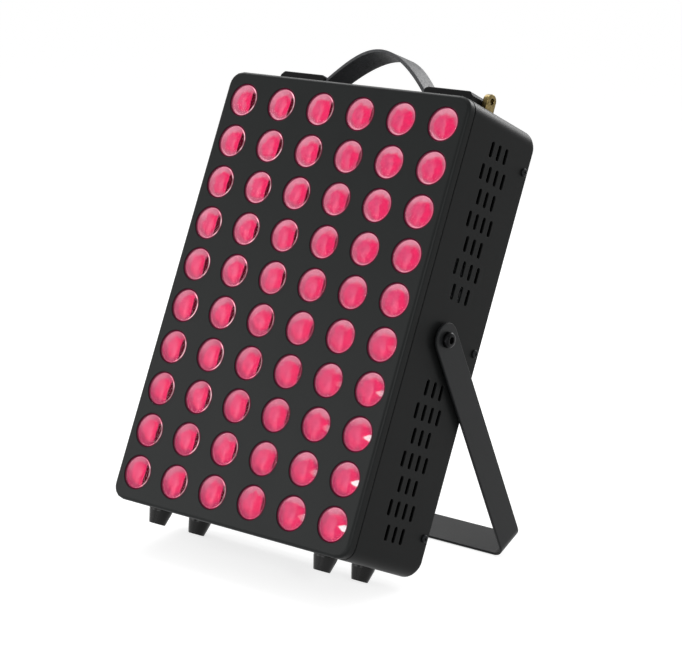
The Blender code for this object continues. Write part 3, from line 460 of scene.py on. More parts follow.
def mouldedPlastic(name, darker, lighter, grain, roughness, strength, level=0.5):
    material, shader, place = startMaterial(name)
    spark = output("TexVoronoi", {"Vector": place, "Scale": scaleFor(grain)}, "Distance")
    surface(shader, noise(place, moulded["mottle"], 4.0),
            bump(spark, strength, moulded["grainDepth"]), (darker, lighter), roughness,
            moulded["spread"], level=level)
    return material


capPlastic = mouldedPlastic("mouldedNylonCaps", "#0E0E0F", "#131314", 0.8, 0.52, 0.10, 0.09)
# the fans' plastic is painted lighter than the black mouldings round it: painted light, so the
# rotor shows inside the shaded fan
fanPlastic = mouldedPlastic("mouldedFanPlastic", "#1A1A1C", "#242427", 0.8, 0.40, 0.12)
inletPlastic = mouldedPlastic("mouldedInletPlastic", "#131313", "#1A1A1B", 0.7, 0.40, 0.10)
rockerPlastic = mouldedPlastic("polishedRockerPlastic", "#0D0D0E", "#121213", 2.5, 0.18, 0.02)
footRubber = mouldedPlastic("mouldedFootRubber", "#080808", "#0E0E0E", 0.9, 0.26, 0.10, 0.22)
washerNylon = mouldedPlastic("turnedNylonWasher", "#1B1B1C", "#242425", 0.9, 0.45, 0.05)
boardMask = mouldedPlastic("blackSolderMask", "#141414", "#1C1C1D", 0.8, 0.35, 0.05)

# Bare, blackened and plated metals: the eye sees metal that isn't mirror-smooth, with tool
# marks in its tone and gloss, drawn out along one direction where stretch is below 1
metal = {"spread": 0.06, "markDepth": 0.00005}


def toolMarkedMetal(name, darker, lighter, size, roughness, strength, stretch=1.0):
    material, shader, place = startMaterial(name)
    along = output("Mapping", {"Vector": place, "Scale": (stretch, 1, 1)})
    marks = noise(along, size, 3.0)
    surface(shader, marks, bump(marks, strength, metal["markDepth"]), (darker, lighter),
            roughness, metal["spread"], metallic=1.0)
    return material


zincSteel = toolMarkedMetal("zincPlatedSteel", "#9C9DA0", "#C4C5C8", 1.2, 0.30, 0.08)
blackScrew = toolMarkedMetal("blackenedScrewSteel", "#1E1F20", "#27282A", 1.0, 0.52, 0.08)
pivotSteel = toolMarkedMetal("blackenedPivotSteel", "#131314", "#1B1B1C", 1.0, 0.32, 0.05)
brass = toolMarkedMetal("castBrass", "#54482A", "#8A7A50", 1.4, 0.30, 0.16)
aluminium = toolMarkedMetal("extrudedAluminium", "#7C7E80", "#A2A4A6", 1.5, 0.42, 0.10, 0.1)

# Grained vinyl over a spring band: the eye sees small leather pebbles with duller creases
# between them, painted darker as shade, in a satin sheen
vinyl = {"warp": 4.0, "warpShare": 0.0015, "pebble": 1.1, "crease": 0.25, "creaseDepth": 0.0001}


def grainedVinyl(s):
    material, shader, place = startMaterial("grainedStrapVinyl")
    moved = output("MixRGB", {"Fac": s["warpShare"], "Color1": place,
                              "Color2": noise(place, s["warp"], 2.0, which="Color")})
    cells = output("TexVoronoi", {"Vector": moved, "Scale": scaleFor(s["pebble"])}, "Distance",
                   feature="DISTANCE_TO_EDGE")
    pebble = remap(cells, 0.0, 1.0, 0.0, s["crease"])
    # the creases' darker colour is painted shade; their duller gloss and their relief are the
    # grain's own
    connect(shader, {"Base Color": colourRamp(pebble, ("#1A1B1D", "#434447"), (0.0, 1.0)),
                     "Roughness": remap(pebble, 0.62, 0.46), "Specular IOR Level": 0.45,
                     "Normal": bump(pebble, 0.35, s["creaseDepth"])})
    return material


strapVinyl = grainedVinyl(vinyl)


# the length of a vector, and a vector moved by a share of another
def lengthOf(vector):
    return output("VectorMath", {0: vector}, "Value", operation="LENGTH")


def shifted(vector, drift, share):
    scaled = output("VectorMath", {0: drift, "Scale": share}, operation="SCALE")
    return output("VectorMath", {0: vector, 1: scaled}, operation="ADD")


def splitUp(vector):
    return list(addNode(vector.id_data, "SeparateXYZ", {0: vector}).outputs)


# 1 inside an ellipse, 0 outside it, with a soft edge as a share of its size
def ellipse(plan, centre, size, soft):
    over = output("Mapping", {"Vector": plan,
                              "Location": (-centre[0] / size[0], -centre[1] / size[1], 0.0),
                              "Scale": (1 / size[0], 1 / size[1], 0.0)})
    return step(lengthOf(over), 1 + soft, 1 - soft)


def blend(share, under, over):
    return output("MixRGB", {"Fac": share, "Color1": under, "Color2": hexToLinear(over)})


# Clear moulded acrylic: a hard gloss over the glow, and a thin light arc where its rim gathers
# the lamp's light, broken up, and brightest on the right side of the panel's left lenses. It is
# drawn with a lower index than the real 1.49, as its bloomed surface throws back less of the
# white room
clear = {"colour": "#FFF4F7", "glow": "#FFD6DF", "index": 1.10, "flow": 6.0, "wave": 0.0004,
         "rim": ((0.885, 0.915), (0.957, 0.945)), "rightSide": (0.25, 0.75),
         "leftLenses": (0.035, -0.06), "gaps": (0.36, 0.62), "least": 0.04, "arc": 0.14,
         "brighter": 0.50}


def clearAcrylic(s):
    material, shader, place = startMaterial("clearMouldedAcrylic")
    flow = noise(place, s["flow"], 1.0)
    plan = addNode(material.node_tree, "UVMap", uv_map="lensPlan").outputs[0]
    rightSide = times(step(splitUp(plan)[0], *s["rightSide"]),
                      step(splitUp(place)[0], *s["leftLenses"]))
    arc = sumOf(s["arc"], times(step(flow, *s["gaps"]), s["brighter"]))
    share = sumOf(s["least"], times(rightSide, arc))
    outer = lengthOf(plan)
    rim = [step(outer, *stops) for stops in s["rim"]]
    connect(shader, {"Base Color": hexToLinear(s["colour"]), "Transmission Weight": 1.0,
                     "IOR": s["index"], "Roughness": remap(flow, 0.02, 0.09),
                     "Normal": bump(flow, 0.25, s["wave"]),
                     "Emission Color": hexToLinear(s["glow"]),
                     "Emission Strength": times(*rim, share)})
    return material


# Lit pan: red light in frosted acrylic. The eye sees a deep pink disc inside a paler ring, a
# light streak from the lamp's chip, a dark shaded side that fades out towards the panel's
# right, a hazy patch on the lenses at its right that is a painted reflection of a soft lamp,
# a white glint towards its lower right, and a crimson flange. Stops are shares of the lens's
# radius, and metres where they say which lenses have a feature
litPan = {"base": "#1E060D", "ring": "#BC3863", "warp": 7.0, "mottle": 3.0, "drift": 0.60,
          "slightDrift": 0.20, "rightLenses": (-0.05, 0.06), "topLenses": (0.10, 0.28),
          "palest": ((-0.35, 0.65), (0.75, -0.4)), "paleShare": (0.42, 0.14), "topPale": 0.26,
          "pale": "#F6B0C2", "heat": (0.62, 0.34), "crescent": (0.38, 0.80),
          "crescentShare": 0.45, "crescentColour": "#F8B8C8",
          "lineRing": ((0.80, 0.87), (0.94, 0.90)), "lineSide": (-0.45, -0.75),
          "lineShare": 0.42, "lineColour": "#FFCAD8",
          "shadeEdge": (0.40, 0.68, -0.087, 0.055), "shadeSoft": (-0.02, 0.06),
          "shadeHeight": ((0.66, 0.46), (-0.84, -0.62)), "shadeLenses": (0.085, 0.0),
          "shade": "#52061A", "glintTip": -0.12, "glintSlope": 0.40, "glintWide": 0.22,
          "glintMiddle": 0.06, "glintSoft": (0.0, 0.09), "glintStart": (0.22, 0.46),
          "glintLenses": ((0.049, 0.084), (0.18, 0.08)), "glint": "#FFFFFF",
          "flangeEdge": (0.940, 0.962), "flange": "#560F28", "level": (0.85, 1.0)}


def frostedAcrylic(s):
    material, shader, place = startMaterial("frostedAcrylicLitPink")
    plan = addNode(material.node_tree, "UVMap", uv_map="lensPlan").outputs[0]
    drift = output("VectorMath", {0: noise(place, s["warp"], 2.0, which="Color"),
                                  1: (0.5, 0.5, 0.5)}, operation="SUBTRACT")
    moved = shifted(plan, drift, s["drift"])
    u, v = splitUp(moved)[:2]
    spotX, spotZ = splitUp(place)[::2]
    toRight, toTop = step(spotX, *s["rightLenses"]), step(spotZ, *s["topLenses"])
    outer = lengthOf(plan)
    # a pale ring, palest at the top left and in the panel's upper rows
    upper = times(step(v, *s["palest"][0]), step(u, *s["palest"][1]))
    pale = sumOf(times(toTop, s["topPale"]), times(upper, remap(toRight, *s["paleShare"])))
    colour = blend(pale, hexToLinear(s["ring"]), s["pale"])
    # the deep pink disc, wider in the columns at the panel's right, its hot side, its light
    # streak, a soft patch and the haze, a painted reflection: centre, size, softness, colour and
    # shares
    patches = (((0.04, -0.10), (0.76, 0.74), 0.16, "#E4386A", (toRight, 0.80)),
               ((0.00, -0.02), (0.62, 0.66), 0.20, "#F22E6A", (0.92,)),
               ((0.34, 0.02), (0.30, 0.46), 0.7, "#FF2E6A", (remap(toRight, *s["heat"]),)),
               ((-0.02, -0.22), (0.15, 0.46), 0.7, "#FF7C9E", (0.6,)),
               ((-0.36, 0.10), (0.34, 0.46), 0.8, "#F0789C", (0.36,)),
               # the haze: a painted reflection of a soft lamp in the caps of the panel's right
               # lenses
               ((-0.26, 0.10), (0.40, 0.56), 0.8, "#CE4A74", (toRight, 0.40)))
    for centre, size, soft, over, shares in patches:
        colour = blend(times(ellipse(moved, centre, size, soft), *shares), colour, over)
    crescent = times(step(v, *s["crescent"]), toRight, s["crescentShare"])
    colour = blend(crescent, colour, s["crescentColour"])
    # a pale line along the lower rim, in the panel's upper rows
    ring = [step(outer, *stops) for stops in s["lineRing"]]
    line = times(*ring, step(v, *s["lineSide"]), times(toTop, s["lineShare"]))
    colour = blend(line, colour, s["lineColour"])
    # the shaded side: it draws back to the lens's right edge and fades out towards the
    # panel's right
    nearU, nearV = splitUp(shifted(plan, drift, s["slightDrift"]))[:2]
    past = maths("SUBTRACT", nearU, remap(spotX, *s["shadeEdge"]))
    height = times(*[step(nearV, *stops) for stops in s["shadeHeight"]])
    shade = times(step(past, *s["shadeSoft"]), height, step(spotX, *s["shadeLenses"]))
    colour = blend(shade, colour, s["shade"])
    # the white glint of the lower right lenses: a wedge that widens to the right
    slant = times(sumOf(nearU, s["glintTip"]), s["glintSlope"])
    half = output("Math", {0: sumOf(nearV, s["glintMiddle"])}, operation="ABSOLUTE")
    inside = maths("SUBTRACT", maths("MINIMUM", slant, s["glintWide"]), half)
    lowerRight = times(step(spotX, *s["glintLenses"][0]), step(spotZ, *s["glintLenses"][1]))
    glint = times(step(inside, *s["glintSoft"]), step(nearU, *s["glintStart"]), lowerRight)
    colour = blend(glint, colour, s["glint"])
    colour = blend(step(outer, *s["flangeEdge"]), colour, s["flange"])
    level = remap(noise(place, s["mottle"], 2.0), *s["level"], 0.3, 0.7)
    connect(shader, {"Base Color": hexToLinear(s["base"]), "Roughness": 0.5,
                     "Specular IOR Level": 0.0, "Emission Color": colour,
                     "Emission Strength": level})
    return material


acrylic, panGlow = clearAcrylic(clear), frostedAcrylic(litPan)
print("materials made")

# Front sheet: a folded pan with sixty pierced holes

frontSheet = {"halfX": 105.0, "halfZ": 155.0, "corner": 10.0, "edge": 2.5, "flange": 6.5,
              "sheet": 1.2, "beside": 0.3, "flangeEdge": 0.2, "flangeEnd": 0.5,
              "innerEdge": 0.1, "pitchX": 34.8, "pitchZ": 29.9, "columns": 6, "rows": 10,
              "hole": 12.0,
              "piercedEdge": 0.3, "holeMargin": 0.25, "fieldX": 100.0, "fieldZ": 148.0,
              "cellSteps": 18}


# places in a row, evenly spaced about the middle
def evenPlaces(count, pitch):
    return pitch * (np.arange(count) - (count - 1) / 2)


lensX = evenPlaces(frontSheet["columns"], frontSheet["pitchX"])
lensZ = evenPlaces(frontSheet["rows"], frontSheet["pitchZ"])


# the sheet's lines: each cell between two lens centres' middles, in equal steps
def cellLines(places, end, steps):
    return subdivide(np.concatenate(([-end], (places[1:] + places[:-1]) / 2, [end])), steps)


def makeFrontSheet(s):
    steps, corner, edge, sheet = s["cellSteps"], s["corner"], s["edge"], s["sheet"]
    aLines = cellLines(lensX, s["fieldX"], steps)
    bLines = cellLines(lensZ, s["fieldZ"], steps)
    grids = []
    for i, x in enumerate(lensX):
        for j, z in enumerate(lensZ):
            cell = cellRim(aLines[i * steps:(i + 1) * steps + 1],
                           bLines[j * steps:(j + 1) * steps + 1])
            grids.append(holeStrip(cell, (x, z), (0.0, 0.0), s["hole"], s))
    # the rim round the field of holes: rings (corner radius, y) out to the rolled edge, along
    # the flange and back
    beside, fine, broken = s["beside"], s["flangeEdge"], s["innerEdge"]
    flange, wall = s["flange"], corner - sheet
    rings = [(corner - edge - beside, 0.0)]
    rings += [(corner - inset, y) for inset, y in edgeSteps(edge, 6)]
    rings += [(corner, edge + beside), (corner, flange - s["flangeEnd"])]
    rings += [(corner - rise, flange - inset) for inset, rise in edgeSteps(fine, 3)]
    rings += [(wall + broken, flange), (wall, flange - broken), (wall, edge)]
    rings += [(wall - inset, sheet + y) for inset, y in reversed(edgeSteps(edge - sheet, 3))]
    core = (s["halfX"] - corner, s["halfZ"] - corner)
    grids.append(borderGrid(cellRim(aLines, bLines), core, rings, 0.0, sheet))
    piece = addPiece("front_sheet", [gridPart(grid) for grid in grids], litFrontCoat,
                     standsFor="front_panel", smoothAngle=50.0)
    # its folded flange lies in the side's plane and takes the housing's darker coat: painted shade,
    # like the side's
    piece.data.materials.append(shadedHousingCoat)
    centre = np.empty(len(piece.data.polygons) * 3)
    piece.data.polygons.foreach_get("center", centre)
    depth = worldToPanel(centre.reshape(-1, 3))[:, 1]
    piece.data.polygons.foreach_set("material_index", (depth > edge).astype(np.int32))


makeFrontSheet(frontSheet)
print("front sheet made")

# Housing: one folded shell, an inner lip in front, bends at the rear and staggered vent slots

housing = {"core": (95.0, 145.0), "wall": 10.0, "lip": 8.5, "lipStart": 2.6, "lipEdge": 0.2,
           "front": 7.2, "frontEdge": 0.4, "innerEdge": 0.1, "sheet": 1.2, "depth": 82.0,
           "bend": 5.0, "bendSteps": 10, "bendSplit": 1.25, "lastTurns": (1.32, 1.38, 1.44, 1.5),
           "sideFillet": 0.9, "stopsBefore": (8.0, 14.0, 20.0), "stopsBehind": (66.0, 71.0),
           "middleStops": (-8.0, 8.0), "sideBand": 0.5, "open": (103.5, 138.0), "openCorner": 8.5,
           "openEdge": 0.2, "ventY": 43.6, "ventStepY": 8.5, "ventStepZ": 16.25,
           "firstRow": 32.6, "ventRows": 7, "slotHalf": 3.9, "slotRadius": 1.6,
           "piercedEdge": 0.2, "holeMargin": 0.2, "linesY": 6, "linesZ": 8}


def makeHousing(s):
    coreX, coreZ = s["core"]
    wall, lip, sheet, depth, bend = s["wall"], s["lip"], s["sheet"], s["depth"], s["bend"]
    linesY, linesZ, fine, broken = s["linesY"], s["linesZ"], s["lipEdge"], s["innerEdge"]
    ventY = subdivide(s["ventY"] + s["ventStepY"] * np.arange(-2, 3), linesY)
    stops = s["firstRow"] + s["ventStepZ"] * (np.arange(s["ventRows"] + 1) - 0.5)
    upperZ = subdivide(stops, linesZ)
    sideZ = np.concatenate(([-coreZ], -upperZ[::-1], s["middleStops"], upperZ, [coreZ]))
    rim = rimDirections(12, np.linspace(-1, 1, 5), sideZ / coreZ)

    def straight(radius, y):
        return coreX + radius, coreZ + radius, radius, y

    front, start = s["front"], depth - bend
    outer = [straight(lip - fine, s["lipStart"]), straight(lip, s["lipStart"] + fine),
             straight(lip, front - broken), straight(lip + broken, front)]
    outer += [straight(wall - inset, front + y) for inset, y in edgeSteps(s["frontEdge"], 3)]
    outer += [straight(wall, y) for y in (*s["stopsBefore"], *ventY, *s["stopsBehind"])]
    # rear bends: y = start + r sin a, half height = wall - r (1 - cos a), in finer steps near
    # the rear face, where the sides have a small fillet
    turn = np.linspace(0.0, s["bendSplit"], s["bendSteps"])
    turn = np.concatenate((turn, s["lastTurns"], [pi / 2]))
    y = start + bend * np.sin(turn)
    over = np.clip((y - (depth - s["sideFillet"])) / s["sideFillet"], 0.0, 1.0)
    inset = s["sideFillet"] * (1 - np.sqrt(1 - over ** 2))
    half = coreZ + wall - bend * (1 - np.cos(turn))
    outer += [(coreX + wall - i, h, wall - i, d) for i, h, d in zip(inset, half, y)]
    opening, corner = s["open"], s["openCorner"]
    outer += [insetRing(opening, corner, -i, depth - y) for i, y in edgeSteps(s["openEdge"], 3)]
    inner = [insetRing(opening, corner, 0.0, depth - sheet + broken),
             insetRing(opening, corner, -broken, depth - sheet)]
    inWall, inBend = wall - sheet, bend - sheet
    inner += [(coreX + inWall, coreZ + inWall - drop, inWall, start + inBend - i)
              for i, drop in reversed(edgeSteps(inBend, 7))]
    inner += [straight(inWall, y) for y in (*ventY[::-1], front + sheet)]
    inner += [straight(lip - sheet, front + sheet), straight(lip - sheet, s["lipStart"])]
    shell, faces = gridPart(rimRings(outer + inner, rim), wrapRows=True)
    # the slots stand in rows of three and four by turns, above and below the middle
    middle = shell[faces].mean(1)
    onSide = np.abs(middle[:, 0]) > coreX + inWall - s["sideBand"]
    keep = np.ones(len(faces), bool)
    slots = []
    for row in range(s["ventRows"]):
        count = 3 + row % 2
        for n in range(count):
            i, j = (4 - count) * linesY // 2 + n * linesY, row * linesZ
            for sign in (1, -1):
                a, b = ventY[i:i + linesY + 1], sign * upperZ[j:j + linesZ + 1][::sign]
                low, high = np.array((a[0], b[0])), np.array((a[-1], b[-1]))
                inCell = ((middle[:, 1:] > low) & (middle[:, 1:] < high)).all(1)
                keep &= ~(inCell & onSide)
                strip = holeStrip(cellRim(a, b), (low + high) / 2, (0.0, s["slotHalf"]),
                                  s["slotRadius"], s)
                across = coreX + wall - strip[..., 1]
                slots += [gridPart(np.stack((side * across, strip[..., 0], strip[..., 2]), -1))
                          for side in (1, -1)]
    addPiece("housing_shell", [(shell, faces[keep])] + slots, shadedHousingCoat,
             standsFor="housing", smoothAngle=50.0)


makeHousing(housing)
print("housing made")

# Rear cover: a pan with two fan openings and the cut-outs for the controls, each cut-out given
# as x, half width of its cell, and half width and half height of the opening

rearCover = {"core": (95.0, 129.5), "corner": 8.2, "edge": 1.5, "depth": 82.0, "flange": 10.0,
             "sheet": 1.2, "beside": 0.3, "flangeEdge": 0.2, "innerEdge": 0.1,
             "piercedEdge": 0.25, "holeMargin": 0.2, "field": (98.0, 132.0), "step": 2.0,
             "fanZ": (88.0, -50.0), "fanCell": 42.0, "fanBore": 38.0, "controlZ": -116.0,
             "controlCell": 14.0, "cutoutCorner": 0.6,
             "cutouts": ((-66.0, 18.0, 13.8, 10.3), (30.0, 10.0, 6.8, 9.8),
                         (56.0, 10.0, 6.8, 9.8))}


def makeRearCover(s):
    aLines, bLines = (np.arange(-end, end + 0.5 * s["step"], s["step"]) for end in s["field"])
    small = s["cutoutCorner"]
    holes = [((0.0, z), (s["fanCell"], s["fanCell"]), (0.0, 0.0), s["fanBore"]) for z in s["fanZ"]]
    holes += [((x, s["controlZ"]), (cell, s["controlCell"]), (halfX - small, halfZ - small), small)
              for x, cell, halfX, halfZ in s["cutouts"]]
    flat = np.stack(np.meshgrid(aLines, bLines, indexing="ij"), -1).reshape(-1, 2)
    faces = gridQuads(len(aLines), len(bLines), wrapCols=False)
    middle = flat[faces].mean(1)
    keep = np.ones(len(faces), bool)
    corner, edge, sheet, depth = s["corner"], s["edge"], s["sheet"], s["depth"]
    grids = []
    for centre, cell, core, radius in holes:
        keep &= ~(np.abs(middle - centre) < cell).all(1)
        a, b = (lines[np.abs(lines - place) < half + 0.1]
                for lines, place, half in zip((aLines, bLines), centre, cell))
        strip = holeStrip(cellRim(a, b), centre, core, radius, s)
        grids.append(strip * (1.0, -1.0, 1.0) + (0.0, depth, 0.0))
    start, wall, broken = depth - s["flange"], corner - sheet, s["innerEdge"]
    rings = [(corner - edge - s["beside"], depth)]
    rings += [(corner - inset, depth - y) for inset, y in edgeSteps(edge, 5)]
    rings += [(corner, depth - edge - s["beside"]), (corner, start + s["flangeEdge"]),
              (corner - s["flangeEdge"], start), (wall + broken, start),
              (wall, start + broken), (wall, depth - edge), (corner - edge, depth - sheet)]
    grids.append(borderGrid(cellRim(aLines, bLines), s["core"], rings, depth, depth - sheet))
    parts = [(points, faces[keep]) for points in deepRows((flat, flat), (depth, depth - sheet))]
    addPiece("rear_sheet", parts + [gridPart(grid) for grid in grids], shadedHousingCoat,
             standsFor="rear_cover", smoothAngle=50.0)


makeRearCover(rearCover)
print("rear cover made")

# Lamps: sixty clear caps, nearly flush with the sheet, over glowing pans, twelve to a board

lamp = {"capRadius": 11.0, "capFront": -0.35, "capRim": 0.35, "capRear": 0.95, "capEdge": 0.15,
        "fineEdge": 0.1, "sides": 64, "flange": 11.85, "flangeTop": 0.4, "flangeRear": 4.0,
        "panRim": 11.1, "panStart": 1.0, "panRadius": 9.6, "panDepth": 2.4, "panCentre": 2.1,
        "seat": 7.0, "board": 9.0, "boardThickness": 1.6, "boardHalfX": 98.0, "boardGap": 0.15,
        "boardCorner": 1.0, "boardEdge": 0.2, "planRadius": 11.5}


# the lens plan of each point is its place across its own lens, -1 to 1 in both directions
def addLensPlan(mesh, radius):
    place = np.empty(len(mesh.vertices) * 3)
    mesh.vertices.foreach_get("co", place)
    flat = worldToPanel(place.reshape(-1, 3))[:, [0, 2]]
    nearest = np.stack((lensX[np.abs(flat[:, :1] - lensX).argmin(1)],
                        lensZ[np.abs(flat[:, 1:] - lensZ).argmin(1)]), 1)
    corner = np.empty(len(mesh.loops), np.int32)
    mesh.loops.foreach_get("vertex_index", corner)
    plan = mesh.uv_layers.new(name="lensPlan")
    plan.data.foreach_set("uv", ((flat - nearest) / radius)[corner].astype(np.float32).ravel())


# the cap's front and the pan's floor are shallow domes: depth = middle + (rim - middle) * t * t
def makeLamps(s):
    radius, rim, rear, front = s["capRadius"], s["capRim"], s["capRear"], s["capFront"]
    edge, fine = s["capEdge"], s["fineEdge"]
    dome = [(radius * t, front + (rim - front) * t ** 2) for t in np.linspace(0.0, 1.0, 11)[:-1]]
    dome += [(radius - edge, rim), (radius, rim + edge), (radius, rear - fine),
             (radius - fine, rear), (0.0, rear)]
    start, flange, top, board = s["panStart"], s["flange"], s["flangeTop"], s["board"]
    panRim, panRadius, panDepth, middle = s["panRim"], s["panRadius"], s["panDepth"], s["panCentre"]
    wall = np.linspace(0.0, 1.0, 7)
    pan = [(panRadius * t, middle + (panDepth - middle) * t ** 2) for t in wall]
    pan += [(panRadius + (panRim - panRadius) * sin(t * pi / 2),
             start + (panDepth - start) * cos(t * pi / 2)) for t in wall[1:-1]]
    pan += [(panRim, start), (panRim, top + fine), (panRim + fine, top), (flange - edge, top),
            (flange, top + edge), (flange, s["flangeRear"]), (s["seat"], board), (0.0, board)]
    thick = s["boardThickness"] / 2
    boardHalf = (s["boardHalfX"], thick, frontSheet["pitchZ"] - s["boardGap"])
    for k in range(frontSheet["rows"] // 2):
        rows = lensZ[2 * k:2 * k + 2]
        for name, profile, material, stands, angle in (
                ("lens_caps", dome, acrylic, None, 35.0),
                ("lamp_pans", pan, panGlow, f"lamp_board_{k + 1}", 40.0)):
            parts = [turnedPart(profile, (x, 0.0, z), rearward, s["sides"])
                     for z in rows for x in lensX]
            piece = addPiece(f"{name}_{k + 1}", parts, material,
                             standsFor=stands, smoothAngle=angle, weigh=False)
            addLensPlan(piece.data, s["planRadius"])
        plate = blockPart(boardHalf, (0.0, board + thick, rows.mean()), s["boardCorner"],
                          s["boardEdge"])
        addPiece(f"board_{k + 1}", [plate], boardMask)


makeLamps(lamp)
print("lamps made")

# Fans: a square frame, a motor plate on four arms, a seven-bladed rotor and a wire guard

fan = {"heights": {"upper": 88.0, "lower": -50.0}, "half": 40.0, "corner": 4.0, "front": 60.5,
       "rear": 80.5, "bore": 38.0, "edge": 0.6, "motorRadius": 16.0, "plate": 2.5,
       "plateEdge": 0.5, "armWidth": 5.0, "armThinner": 0.25, "armInto": 2.0, "armPast": 1.0,
       "armCorner": 0.6, "armEdge": 0.4, "screw": 35.75}
rotor = {"hub": 16.0, "front": 63.3, "rear": 77.3, "frontEdge": 0.6, "rearEdge": 2.4,
         "blades": 7, "root": 14.5, "tip": 36.5, "middle": 70.3, "depth": 5.3, "camber": 0.8,
         "rootSweep": radians(24.0), "tipSweep": radians(15.0), "lean": radians(6.0),
         "thickAcross": 0.675, "thickDeep": 0.30, "narrow": 0.55}
guard = {"wire": 1.0, "spokeY": 83.3, "crossY": 83.9, "ringY": 84.5, "short": 2.2,
         "rings": (7.6, 15.2, 22.8, 30.4, 37.0), "eye": 3.0, "eyeWire": 0.9}


def makeFanFrame(level, z, s):
    half, corner, bore, front, rear = s["half"], s["corner"], s["bore"], s["front"], s["rear"]
    edge = s["edge"]
    square, hole = (half, half), (bore, bore)
    rings = [insetRing(square, corner, edge, front), insetRing(square, corner, 0.0, front + edge),
             insetRing(square, corner, 0.0, rear - edge), insetRing(square, corner, edge, rear),
             insetRing(hole, bore, -edge, rear), insetRing(hole, bore, 0.0, rear - edge),
             insetRing(hole, bore, 0.0, front + edge), insetRing(hole, bore, -edge, front)]
    motor, plateRear = s["motorRadius"], front + s["plate"]
    plate = discProfile(motor, front, plateRear, s["plateEdge"])
    parts = [gridPart(rimRings(rings, rimDirections(12), (0.0, z)), wrapRows=True),
             turnedPart(plate, (0.0, 0.0, z), rearward)]
    # arms: a flat bar along each direction, from inside the plate's edge to past the bore
    thick, width = s["plate"] / 2 - s["armThinner"], s["armWidth"] / 2
    length = (bore + s["armPast"] - motor + s["armInto"]) / 2
    reach = motor - s["armInto"] + length
    for x, up in ((1, 0), (-1, 0), (0, 1), (0, -1)):
        size = (length if x else width, thick, length if up else width)
        place = (x * reach, (front + plateRear) / 2, z + up * reach)
        parts.append(blockPart(size, place, s["armCorner"], s["armEdge"]))
    addPiece(f"fan_housing_{level}", parts, fanPlastic,
             standsFor=f"fan_frame_{level}")


# each blade: radius runs out from root to tip; across it the angle sweeps while the depth runs
# from front to rear, with a little camber, and the section is a thin closed loop
def makeRotor(level, z, s):
    hub = discProfile(s["hub"], s["front"], s["rear"], [0.0, s["frontEdge"], s["rearEdge"], 0.0], 6)
    parts = [turnedPart(hub, (0.0, 0.0, z), rearward, 56)]
    out = np.linspace(0.0, 1.0, 12)[:, None]
    loop = circleAngles(20)[None, :]
    along, thick = np.cos(loop), np.sin(loop) * (1 - s["narrow"] * np.cos(loop) ** 2)
    radius = s["root"] + (s["tip"] - s["root"]) * out
    sweep = s["rootSweep"] + (s["tipSweep"] - s["rootSweep"]) * out
    turn = along * sweep + s["lean"] * out ** 2 + s["thickAcross"] * thick / radius
    depth = (s["middle"] + along * s["depth"] + s["thickDeep"] * thick
             + s["camber"] * (1 - along ** 2) + 0 * radius)
    for k in range(s["blades"]):
        angle = 2 * pi * k / s["blades"] + turn
        blade = np.stack((radius * np.cos(angle), depth, z + radius * np.sin(angle)), -1)
        parts.append(gridPart(closeEnds(blade)))
    addPiece(f"fan_impeller_{level}", parts, fanPlastic,
             standsFor=f"fan_rotor_{level}", body=f"{level}_rotor")


def makeGuard(level, z, corner, s):
    wire, reach = s["wire"], corner - s["short"]
    steps = np.linspace(-1.0, 1.0, 24)[:, None]
    parts = [tubePart((0.0, y, z) + steps * np.array((reach, 0.0, slope * reach)), wire)
             for y, slope in ((s["spokeY"], 1), (s["crossY"], -1))]
    parts += [tubePart(circlePath(r, (0.0, s["ringY"], z)), wire, closed=True) for r in s["rings"]]
    for x in (-corner, corner):
        for up in (-corner, corner):
            y = s["spokeY"] if x * up > 0 else s["crossY"]
            parts.append(tubePart(circlePath(s["eye"], (x, y, z + up), 32), wire * s["eyeWire"],
                                  closed=True))
    addPiece(f"wire_guard_{level}", parts, zincSteel,
             standsFor=f"finger_guard_{level}", smoothAngle=60.0, weigh=False)


# Screws: a domed head with a cross or hexagon recess, turned outlines with a star-shaped middle

# cross of arm length 1 and half width 0.26: the distance to its edge at each angle a, the
# smaller of 1 / cos a to an arm's end and width / sin a to its side
def crossOutline(angle):
    width, least = 0.26, 0.01
    turn = np.abs((angle + pi / 4) % (pi / 2) - pi / 4)
    side = np.where(turn > least, width / np.sin(np.maximum(turn, least)), np.inf)
    return np.minimum(1.0 / np.cos(turn), side)


# regular hexagon, 1 to its corners
def hexOutline(angle):
    return cos(pi / 6) / np.cos(angle % (pi / 3) - pi / 6)


# the head's dome: radius = half head * (1 - (1 - crown) * t ** 2.2), while it rises as a sine.
# Above its flat foot stands a short skirt; the recess has a broken rim and narrows to its floor
def screwPart(place, axis, s, outline=crossOutline, count=48):
    head, shank, recess, rise = s["head"] / 2, s["shank"] / 2, s["recess"] / 2, s["rise"]
    skirt, rim, narrow, floor = 0.15, 0.12, 0.9, rise - s["depth"]
    rings = [(circleOutline, 0.0, -s["reach"]), (circleOutline, shank, -s["reach"]),
             (circleOutline, shank, 0.0), (circleOutline, head - skirt, 0.0),
             (circleOutline, head, skirt)]
    rings += [(circleOutline, head * (1 - (1 - s["crown"]) * t ** 2.2),
               2 * skirt + (rise - 2 * skirt) * np.sin(t * pi / 2))
              for t in np.linspace(0.0, 1.0, 6)]
    rings += [(outline, recess + rim, rise), (outline, recess, rise - rim),
              (outline, recess * narrow, floor), (circleOutline, 0.0, floor - 0.1)]
    return starPart(rings, place, axis, count)


crossHead = {"head": 5.6, "shank": 2.8, "crown": 0.55}
sideScrew = {**crossHead, "x": 105.3, "y": 76.7, "rise": 1.3, "recess": 2.9, "depth": 0.8,
             "reach": 6.0, "z": {"top": 127.0, "middle": 0.0, "bottom": -127.0}}
guardScrew = {**crossHead, "sunk": 0.3, "rise": 2.2, "recess": 2.8, "depth": 0.9, "reach": 8.0}


